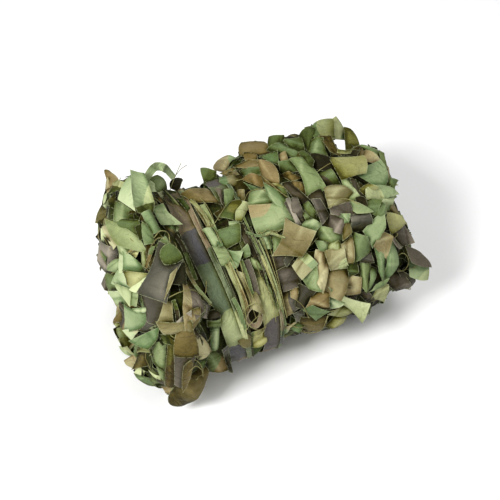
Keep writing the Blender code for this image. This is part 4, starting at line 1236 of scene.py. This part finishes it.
def scatter_cords(count=110):
    """Stretches of the net's own cord that show between leaves on every side."""
    rng = np.random.default_rng(29)
    for point, normal in spread_points(count, 71):
        if WAIST[0] - 0.002 < point.x < WAIST[1] + 0.002:
            continue
        helper = Vector((0, 0, 1)) if abs(normal.z) < 0.8 else Vector((1, 0, 0))
        t1 = normal.cross(helper).normalized()
        t2 = normal.cross(t1)
        turn = rng.uniform(0, 2 * math.pi)
        along = t1 * math.cos(turn) + t2 * math.sin(turn)
        side = normal.cross(along)
        length, sway = rng.uniform(0.03, 0.07), rng.uniform(-0.012, 0.012)
        spots = []
        for t in np.linspace(-0.5, 0.5, 7):
            q = point + along * (t * length) + side * (sway * (1 - 4 * t * t))
            hit, n, _, _ = roll_tree.find_nearest(q)
            spots.append(hit + n * (0.001 + rng.uniform(-0.002, 0.0025) - 0.016 * abs(t) ** 2 * 2))
        line, _ = smooth_line([tuple(p) for p in spots], 18)
        if share_outside(line) < 0.02:
            net_cords.add(keep_in(line), rng.uniform(0.0004, 0.0006))


# ------------------------------------------------------------ scattered leaves
def spread_points(count, seed):
    """Points spread evenly over the whole roll, with their normals."""
    rng = np.random.default_rng(seed)
    mesh = roll.data
    mesh.calc_loop_triangles()
    co = np.array([v.co for v in mesh.vertices])
    tri = np.array([t.vertices[:] for t in mesh.loop_triangles])
    a, b, c = co[tri[:, 0]], co[tri[:, 1]], co[tri[:, 2]]
    area = np.linalg.norm(np.cross(b - a, c - a), axis=1) / 2
    many = count * 9
    pick = rng.choice(len(tri), many, p=area / area.sum())
    r1, r2 = np.sqrt(rng.random(many)), rng.random(many)
    pts = (1 - r1)[:, None] * a[pick] + (r1 * (1 - r2))[:, None] * b[pick] + (r1 * r2)[:, None] * c[pick]
    # keep points in turn where they are far enough from those kept
    gap = math.sqrt(area.sum() / count) * 0.78
    kept = []
    arr = np.empty((0, 3))
    for p in pts:
        if len(arr) == 0 or (np.linalg.norm(arr - p, axis=1) > gap).all():
            kept.append(p)
            arr = np.array(kept)
        if len(kept) >= count:
            break
    return [(Vector(p), soft_normal(Vector(p))) for p in kept]


# Layers from the inside out: how many leaves, how far over the roll's surface,
# their size and its spread, how much they tilt, how deep their painted shade
LAYER_COLUMNS = ("count", "over", "length", "spread", "tilt", "sunk")
UNDER_LAYERS = (
    (260, -0.0125, 0.058, 0.010, 0.08, 1.5),
    (300, -0.0095, 0.052, 0.010, 0.14, 0.9),
)
TUCKED_LAYERS = (
    (280, -0.0100, 0.036, 0.008, 0.16, 0.8),
    (280, -0.0078, 0.030, 0.008, 0.24, 0.4),
)
AWAY_LAYERS = (
    (330, 0.0005, 0.040, 0.008, 0.20, -0.3),
)
OUTER_LAYERS = (
    (430, -0.0050, 0.044, 0.008, 0.16, 0.2),
    (430, -0.0015, 0.040, 0.008, 0.24, -0.2),
    (430, 0.0022, 0.036, 0.008, 0.32, -0.5),
)
# How a leaf is cut: its share of the mix, breadth by length, how far its
# corners wander, and how its four edges bow, first the root then round
CUT_COLUMNS = ("weight", "breadth", "wander", "bows")
CUTS = (
    (7, 0.70, 0.10, (0.0, 0.03, 0.0, 0.03)),
    (4, 0.60, 0.16, (-0.10, 0.0, 0.05, -0.04)),
    (4, 0.62, 0.12, (0.0, 0.04, 0.30, 0.04)),
    (3, 0.80, 0.12, (-0.12, -0.14, -0.12, -0.12)),
    (3, 0.55, 0.22, (0.05, 0.0, 0.02, -0.10)),
    (2, 0.30, 0.08, (0.0, 0.03, 0.05, -0.03)),
    (2, 0.85, 0.20, (-0.16, 0.05, 0.10, 0.05)),
)
# The print's colours, corner by corner, with each mix's share
PRINTS = (("g", 8), ("b", 4), ("l", 2), ("d", 3), ("ggbb", 3), ("gldg", 1), ("gllg", 3),
          ("bbgg", 2), ("ggdd", 2), ("dbbd", 1), ("gggl", 2), ("bblb", 1))


def eased(field, times=2):
    """A grid of numbers, each drawn towards its neighbours."""
    for _ in range(times):
        f = np.pad(field, 1, mode="edge")
        field = (f[:-2, 1:-1] + f[2:, 1:-1] + f[1:-1, :-2] + f[1:-1, 2:] + 2 * field) / 6
    return field


def sunk_share(mid):
    """0 at the roll's surface to 1 where a leaf lies a centimetre inside."""
    out = np.zeros(mid.shape[:2])
    for i in range(mid.shape[0]):
        for j in range(mid.shape[1]):
            p = Vector(mid[i, j])
            hit, normal, _, gap = roll_tree.find_nearest(p)
            inside = -(p - hit).dot(normal)
            out[i, j] = min(1.0, max(0.0, (inside - 0.001) / 0.010))
    return out


def pick(rng, rows, weights):
    total = np.cumsum(weights)
    return rows[int(np.searchsorted(total, rng.random() * total[-1], side="right"))]


def share_before(mid, tree, within_reach=0.030):
    """The share of a sheet that lies before the listed sheets, close to them."""
    over = 0
    spots = mid[::2, ::2].reshape(-1, 3)
    for p in spots:
        ray = Vector(p) - EYE
        gap = ray.length
        hit, _, _, far = tree.ray_cast(EYE, ray.normalized())
        over += hit is not None and gap < far < gap + within_reach
    return over / len(spots)


laid = []                        # grids of the sheets scattered so far


def under_by(point):
    """How deep under the bands a leaf rooted at a point is pressed: each its own."""
    turn = math.sin(point.x * 913.0 + point.y * 577.0 + point.z * 331.0) * 43.758
    return 0.0003 + 0.0042 * (turn - math.floor(turn))


def raised_clear(mid, normal, around, deep):
    """A sheet raised off those that it would otherwise lie level with."""
    for _ in range(3):
        spots = mid[::2, ::2].reshape(-1, 3)
        level = sum(around.find_nearest(Vector(p), 0.0007)[0] is not None for p in spots)
        if level < 0.12 * len(spots):
            break
        mid = keep_in(under_bands(mid + np.array(normal)[None, None] * 0.0013, deep=deep))
    return mid


def scatter_leaf(rng, heap, point, normal, layer, nu, nv, tree, around=None):
    """One leaf; drawn further in where it would break the outline or hide
    the listed leaves."""
    facing = normal.dot((EYE - point).normalized()) > -0.2
    best = None
    for k in range(5):
        row = dict(zip(LAYER_COLUMNS, layer))
        row["over"] -= 0.0030 * k
        row["tilt"] *= 0.6 ** k
        row["length"] *= 0.92 ** k
        leaf = make_leaf(rng, point, normal, row, nu, nv)
        fault = share_outside(leaf[0])
        if facing:
            fault = max(fault, 0.3 * share_before(leaf[0], tree))
        if best is None or fault < best[0]:
            best = (fault, leaf)
        if fault < 0.02:
            break
    fault, leaf = best
    if around is not None:
        mid = raised_clear(leaf[0], normal, around, under_by(point))
        if share_outside(mid) < 0.02:
            leaf = (mid,) + leaf[1:]
    if fault < 0.10 and not within(in_frame(leaf[0]).reshape(-1, 2), HOLE).any():
        heap.add(*leaf)
        laid.append(leaf[0])


def make_leaf(rng, point, normal, row, nu, nv):
    cut = dict(zip(CUT_COLUMNS, pick(rng, CUTS, [c[0] for c in CUTS])))
    length = row["length"] + rng.uniform(-1, 1) * row["spread"]
    breadth = length * cut["breadth"] * rng.uniform(0.8, 1.2)
    angle = math.atan2(point.z - MID_Z, point.y - MID_Y)
    left, between, right = band_gaps(point.x, angle)
    pressed = max(left, between, right) < 0.014
    over, tilt = row["over"], row["tilt"]
    if pressed:
        over, tilt = over * 0.3 + 0.001, tilt * 0.45
        if between > -0.012 and between < 0.02:
            length *= 0.85
    helper = Vector((0, 0, 1)) if abs(normal.z) < 0.8 else Vector((1, 0, 0))
    t1 = normal.cross(helper).normalized()
    t2 = normal.cross(t1)
    turn = rng.uniform(0, 2 * math.pi)
    ex = t1 * math.cos(turn) + t2 * math.sin(turn)
    ez = normal
    if abs(normal.x) > 0.75 and rng.random() < 0.25:
        # the turns of the roll show their edges on the ends
        radial = Vector((0, point.y - MID_Y, point.z - MID_Z))
        if radial.length > 0.01:
            radial.normalize()
            side = math.copysign(1, normal.x)
            ez = (radial * rng.uniform(0.3, 0.8) + Vector((side, 0, 0)) * rng.uniform(0.5, 1.0)).normalized()
            ex = Vector((1, 0, 0)).cross(ez).normalized()
    ex = (ex - ez * ex.dot(ez)).normalized()
    ey = ez.cross(ex)
    turned = Matrix.Rotation(rng.normal(0, tilt), 3, ey)
    ex, ez = turned @ ex, turned @ ez
    turned = Matrix.Rotation(rng.normal(0, tilt), 3, ex)
    ey, ez = turned @ ey, turned @ ez
    ex, ey, ez = np.array(ex), np.array(ey), np.array(ez)
    origin = np.array(point) + np.array(normal) * (over + rng.uniform(-0.0012, 0.0012))
    corners = []
    for sx, sy in ((-1, -1), (-1, 1), (1, 1), (1, -1)):
        wx, wy = rng.uniform(-1, 1, 2) * cut["wander"]
        corners.append(origin + ex * (sx * 0.5 + wx) * length + ey * (sy * 0.5 + wy) * breadth)
    # random dye, less the layer's painted shade
    shape = dict(e=cut["bows"], s=rng.uniform(-1.0, 1.1) - row["sunk"], curl=1.2)
    colours = pick(rng, [p[0] for p in PRINTS], [p[1] for p in PRINTS])
    shape["s"] -= 0.8 * colours.count("d") / len(colours)
    grid, height, flat, tone, shade, _, _ = cloth_patch(rng, corners, ez, colours, shape, nu, nv)
    # no leaf is cut from one colour of the print alone
    tone = np.clip(tone, -0.13, 0.36)
    # it lies on what is under it: bent over the bundle, or partly so
    share = rng.uniform(0.45, 0.95) if not pressed else 0.95
    drop = np.zeros((nu, nv))
    for i in range(nu):
        for j in range(nv):
            p = Vector(grid[i, j])
            hit, out, _, _ = roll_tree.find_nearest(p)
            gap = (p - hit).dot(out)
            rise = (p - point).dot(normal) - over
            drop[i, j] = (over + 0.25 * rise - gap) / max(0.5, out.dot(Vector(ez)))
    drop = eased(np.clip(drop * share, -0.018, 0.012))
    mid = grid + ez[None, None] * (height + drop)[..., None]
    mid = keep_in(under_bands(mid, deep=under_by(point)))
    # painted shade: darker the deeper the sheet lies inside the roll, less so where the roll faces away from the camera
    away = normal.dot((EYE - point).normalized()) < 0.05
    shade = shade - (1.4 if away else 3.2) * sunk_share(mid)
    return mid, flat, tone, shade, edge_distance(flat), dyed(rng, flat)


def covered(point):
    """True where the listed leaves already cover the roll."""
    for middle, reach in key_points:
        if (middle - point).length < reach + 0.004:
            return True
    return False


def seen_waist(point):
    """True on the stretch of the waist whose strips and leaves are listed."""
    if not WAIST[0] - 0.004 < point.x < WAIST[1] + 0.004:
        return False
    turn = math.degrees(math.atan2(point.z - MID_Z, point.y - MID_Y)) % 360.0
    return 62.0 < turn < 204.0


def scatter():
    k, known, around = 0, 0, None
    tree = tree_of(set_sheets)
    for layers, where, nu, nv in ((UNDER_LAYERS, "all", 9, 7), (TUCKED_LAYERS, "covered", 11, 8),
                                  (OUTER_LAYERS, "open", 12, 9), (AWAY_LAYERS, "away", 12, 9)):
        for layer in layers:
            rng = np.random.default_rng(100 + k)
            for i, (point, normal) in enumerate(spread_points(layer[0], 40 + k)):
                angle = math.atan2(point.z - MID_Z, point.y - MID_Y)
                if seen_waist(point) or max(band_gaps(point.x, angle)) < 0.001:
                    continue
                hidden = covered(point) and normal.dot((EYE - point).normalized()) > 0.05
                if (where == "covered" and not hidden) or (where == "open" and hidden):
                    continue
                if where == "away" and normal.dot((EYE - point).normalized()) > 0.22:
                    continue
                if where in ("open", "away") and len(laid) >= known + 60:
                    around, known = tree_of(set_sheets + laid), len(laid)
                scatter_leaf(rng, heaps[(i * 7 + k * 5) % GROUPS], point, normal, layer, nu, nv, tree, around)
            k += 1


set_leaves()
set_strips()
set_cords()
scatter()
scatter_cords()


# ------------------------------------------------------------------ the bands


def waist_strip(heap, x, width, slant, lift, tones, seed,
                crown=0.0, ruffle=0.0, nu=187, nv=9, thick=0.0006, edge_scale=1.0, shade=0.0):
    """A strip of cloth run round the waist, its end lapped over its start."""
    rng = np.random.default_rng(seed)
    lap = 0.14
    angles = np.linspace(0.0, 2 * math.pi + lap, nu)
    v = np.linspace(-1, 1, nv)
    mid = np.zeros((nu, nv, 3))
    flat = np.zeros((nu, nv, 2))
    tone = np.zeros((nu, nv, 3))
    shift = rng.uniform(0, 5, 3)
    run = 0.0
    prev = None
    phase = rng.uniform(0, 6)
    for i, a in enumerate(angles):
        c, sn = math.cos(a), math.sin(a)
        wob = ruffle * noise.noise(Vector((c * 2.2, sn * 2.2, phase)))
        base, normal = skin(-0.053, a)
        normal = Vector((0, normal.y, normal.z)).normalized()
        narrow = 1.0 + 0.06 * noise.noise(Vector((c * 3.0, sn * 3.0, phase + 3)))
        for j, t in enumerate(v):
            h = lift + crown * (1 - t * t)
            h += 0.0010 * min(1.0, max(0.0, (a - 2 * math.pi + 0.10) / 0.08))
            h += 0.0009 * noise.noise(Vector((t * 1.6, c * 6, sn * 6 + phase)))
            h += 0.0005 * math.sin(2.3 * t * math.pi + 9.0 * noise.noise(Vector((c, sn, phase))))
            p = base + normal * max(h, 0.0004)
            mid[i, j] = (x - slant * sn + wob + t * width * narrow / 2, p.y, p.z)
            wander = 6.0 * noise.noise(Vector((t * 0.7, c * 2.5, sn * 2.5 + phase * 2)))
            tone[i, j] = band_tone(tones, math.degrees(a) % 360.0 + wander + 3.0 * t)
        centre = mid[i, nv // 2]
        if prev is not None:
            run += float(np.linalg.norm(centre - prev))
        prev = centre.copy()
        flat[i, :, 0] = run
        flat[i, :, 1] = v * width / 2
    cloth = np.concatenate([flat + shift[:2], np.full((nu, nv, 1), shift[2])], 2)
    edge = np.broadcast_to(((1 - np.abs(v)) * width / 2)[None, :], (nu, nv)) * edge_scale
    pale = np.clip(tone[..., 0], 0, 1) * np.clip(-tone[..., 1], 0, 1)
    heap.add(keep_in(mid), flat, tone, shade + 1.6 * pale, edge, cloth, thick)
    return run


def band_tone(rows, degree):
    """The colour of a band at an angle round it, from rows of (from, colour)."""
    total = np.array(TONES[rows[0][1]] if rows else TONES["any"], float)
    for start, colour in rows[1:]:
        share = min(1.0, max(0.0, (degree - start) / 9.0 + 0.5))
        total = total * (1 - share) + np.array(TONES[colour]) * share
    return total


# colours of each band, from an angle round it on: 90 is the top, 180 the front
LEFT_TONES = ((0, "any"), (50, "brown"), (90, "dark"), (120, "green"), (150, "light"), (175, "dark"),
              (200, "any"))
LEFT_HEM_TONES = ((0, "any"), (60, "brown"), (110, "green"), (150, "light"), (180, "green"), (200, "any"))
RIGHT_TONES = ((0, "any"), (70, "dark"), (110, "green"), (135, "light"), (165, "dark"), (200, "any"))
# strips of each band: node, shift along X, width, height off the roll, colours, seed, crown, dye with painted light and
# shade
BAND_STRIP_COLUMNS = ("node", "shift", "width", "lift", "tones", "seed", "crown", "shade")
BAND_STRIPS = (
    ("band_left", -0.0005, 0.0240, 0.0020, LEFT_TONES, 5, 0.0010, 0.0),
    ("band_left", 0.0107, 0.0062, 0.0036, LEFT_HEM_TONES, 6, 0.0006, 0.6),
    ("band_right", 0.0, 0.0240, 0.0020, RIGHT_TONES, 8, 0.0010, -0.2),
    ("band_right", 0.0100, 0.0045, 0.0036, (), 9, 0.0004, 0.8),
)
band_heaps = []
for row in BANDS:
    band = dict(zip(BAND_COLUMNS, row))
    heap = Heap(band["node"] + "_cloth")
    length, breadth = 0.0, 0.0
    for strip in BAND_STRIPS:
        r = dict(zip(BAND_STRIP_COLUMNS, strip))
        if r["node"] == band["node"]:
            run = waist_strip(heap, band["x"] + r["shift"], r["width"], band["slant"], r["lift"], r["tones"],
                              r["seed"], crown=r["crown"], shade=r["shade"])
            length, breadth = max(length, run), breadth + r["width"]
    band_heaps.append((heap, band["node"], (round(breadth, 4), round(length, 3))))


def build_tie_cord():
    """Thin cord drawn once round the waist: two plies laid round each other."""
    cord = Cordage()
    slant, x = 0.015, -0.0545
    angles = np.linspace(0, 2 * math.pi, 360, endpoint=False)
    line, out = [], []
    for a in angles:
        base, normal = skin(-0.053, a)
        normal = Vector((0, normal.y, normal.z)).normalized()
        p = base + normal * 0.0030
        line.append((x - slant * math.sin(a) + 0.0006 * math.sin(7 * a), p.y, p.z))
        out.append(normal)
    line = np.array(line)
    tangent = np.roll(line, -1, axis=0) - np.roll(line, 1, axis=0)
    tangent /= np.linalg.norm(tangent, axis=1, keepdims=True)
    out = np.array(out)
    side = np.cross(tangent, out)
    twist = 120 * angles
    for phase in (0.0, math.pi):
        off = 0.00062 * (out * np.cos(twist + phase)[:, None] + side * np.sin(twist + phase)[:, None])
        cord.add(line + off, 0.00085, closed=True)
    obj = cord.build("tie_cord_twisted", tie_cord_mat)
    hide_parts("tie_cord")


def build_tie_loop():
    """The loop of folded cloth strip that stands where the bands are tied off."""
    heap = Heap("tie_loop_cloth")
    lo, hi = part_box("tie_loop")
    middle = (lo + hi) / 2
    hit, normal, _, _ = roll_tree.find_nearest(middle)
    n = np.array(Vector((0, normal.y, normal.z)).normalized())
    ex = np.array((1.0, 0, 0))
    up = np.cross(ex, n)
    if up[2] < 0:
        up = -up
    nu, nv = 49, 6
    u = np.linspace(0, 2 * math.pi, nu)
    v = np.linspace(-1, 1, nv)
    run = 0.0
    mid = np.zeros((nu, nv, 3))
    flat = np.zeros((nu, nv, 2))
    prev = None
    for i, a in enumerate(u):
        rad = ex * math.cos(a) * 0.0082 + up * math.sin(a) * 0.0122
        d = rad / np.linalg.norm(rad)
        lean = 1.02 + 0.34 * math.sin(a + 0.6)
        across = n * math.sin(lean) + d * math.cos(lean)
        for j, t in enumerate(v):
            mid[i, j] = (np.array(middle) + rad + across * (t * 0.0034)
                         + n * (0.0010 + 0.0008 * math.sin(3 * a)) + d * 0.0006 * (1 - t * t))
        if prev is not None:
            run += float(np.linalg.norm(mid[i, nv // 2] - prev))
        prev = mid[i, nv // 2].copy()
        flat[i] = np.stack([np.full(nv, run), v * 0.0030], 1)
    mid[-1] = mid[0]
    cloth = np.concatenate([flat + 3.1, np.full((nu, nv, 1), 5.2)], 2)
    edge = np.broadcast_to(((1 - np.abs(v)) * 0.003)[None, :], (nu, nv))
    heap.add(mid, flat, TONES["brown"], 0.9, edge, cloth, 0.0006, loop_u=True)
    obj = heap.build(band_cloth)
    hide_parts("tie_loop")


tie_cord_mat = cord_material("tie_cord_dark", linear(58, 60, 40), linear(92, 92, 62))
build_tie_cord()
build_tie_loop()

obj = net_cords.build("net_cords", net_cord)


# --------------------------------------------------------- painted shade in recesses
def shade_recesses(owners, reach=0.028, depth=6.2, lift=0.35):
    """Paints shade where other leaves close a spot in, on both faces."""
    points = np.concatenate([np.concatenate(h.points) for h in owners])
    normals = np.concatenate([np.concatenate(h.normals) for h in owners])
    faces, start = [], 0
    for h in owners:
        faces.append(np.concatenate(h.faces) + start)
        start += h.count
    tree = BVHTree.FromPolygons(points.tolist(), np.concatenate(faces).tolist())
    tilts = [(math.radians(e), math.radians(a)) for e, a in
             ((15, 0), (48, 20), (48, 92), (48, 164), (48, 236), (48, 308))]
    closed = np.zeros(len(points))
    for k in range(len(points)):
        n = Vector(normals[k])
        t1 = n.orthogonal().normalized()
        t2 = n.cross(t1)
        p = Vector(points[k]) + n * 0.0009
        hits = 0.0
        for e, a in tilts:
            ray = n * math.cos(e) + (t1 * math.cos(a) + t2 * math.sin(a)) * math.sin(e)
            _, _, _, gap = tree.ray_cast(p, ray, reach)
            if gap is not None:
                hits += 1.0 - 0.5 * gap / reach
        closed[k] = hits / len(tilts)
    at = 0
    for h in owners:
        value = np.concatenate(h.shade)
        for nu, nv in [grid for grid in h.grids for _ in range(2)]:
            part = closed[at:at + nu * nv].reshape(nu, nv)
            for _ in range(2):
                pad = np.pad(part, 1, mode="edge")
                part = (pad[1:-1, 1:-1] * 2 + pad[:-2, 1:-1] + pad[2:, 1:-1]
                        + pad[1:-1, :-2] + pad[1:-1, 2:]) / 6
            closed[at:at + nu * nv] = part.ravel()
            at += nu * nv
        share = closed[at - h.count:at]
        h.shade = [value + lift - depth * share]


heaps = [heap for heap in heaps if heap.sheets]
shade_recesses(heaps + [row[0] for row in band_heaps])


# ------------------------------------------------------------- finish the net
for heap, node, flat in band_heaps:
    obj = heap.build(band_cloth)
    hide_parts(node)

for heap in heaps:
    obj = heap.build(leaf_cloth)


# ---------------------------------------------------------------------- stage
def build_stage():
    bpy.ops.mesh.primitive_plane_add(size=6.0, location=(0, 0, 0))
    floor = bpy.context.active_object
    floor.name = "floor"
    mat, tree, shader = new_material("floor_white")
    shader.inputs["Base Color"].default_value = (0.95, 0.95, 0.95, 1)
    shader.inputs["Roughness"].default_value = 0.9
    shader.inputs["Specular IOR Level"].default_value = 0.1
    floor.data.materials.append(mat)

    world = bpy.data.worlds.new("studio")
    bpy.context.scene.world = world
    world.use_nodes = True
    back = world.node_tree.nodes["Background"]
    back.inputs["Color"].default_value = (1.0, 1.0, 1.0, 1)
    back.inputs["Strength"].default_value = 0.22

    LIGHT_COLUMNS = ("name", "place", "size", "watts")
    for name, at, size, watts in (
        ("key", (-1.10, -0.50, 1.45), 0.5, 33.0),
        ("fill", (1.2, -1.2, 1.5), 1.2, 8.0),
        ("back", (0.5, 1.5, 1.3), 1.2, 10.0),
        ("top", (0.5, -0.4, 2.0), 0.9, 12.0),
    ):
        data = bpy.data.lights.new(name, "AREA")
        data.shape = "SQUARE"
        data.size = size
        data.energy = watts
        lamp = bpy.data.objects.new(name, data)
        lamp.location = at
        lamp.rotation_mode = "QUATERNION"
        lamp.rotation_quaternion = (Vector((0, 0, 0.1)) - Vector(at)).to_track_quat("-Z", "Y")
        bpy.context.scene.collection.objects.link(lamp)
    bpy.context.scene.view_settings.view_transform = "Standard"


build_stage()
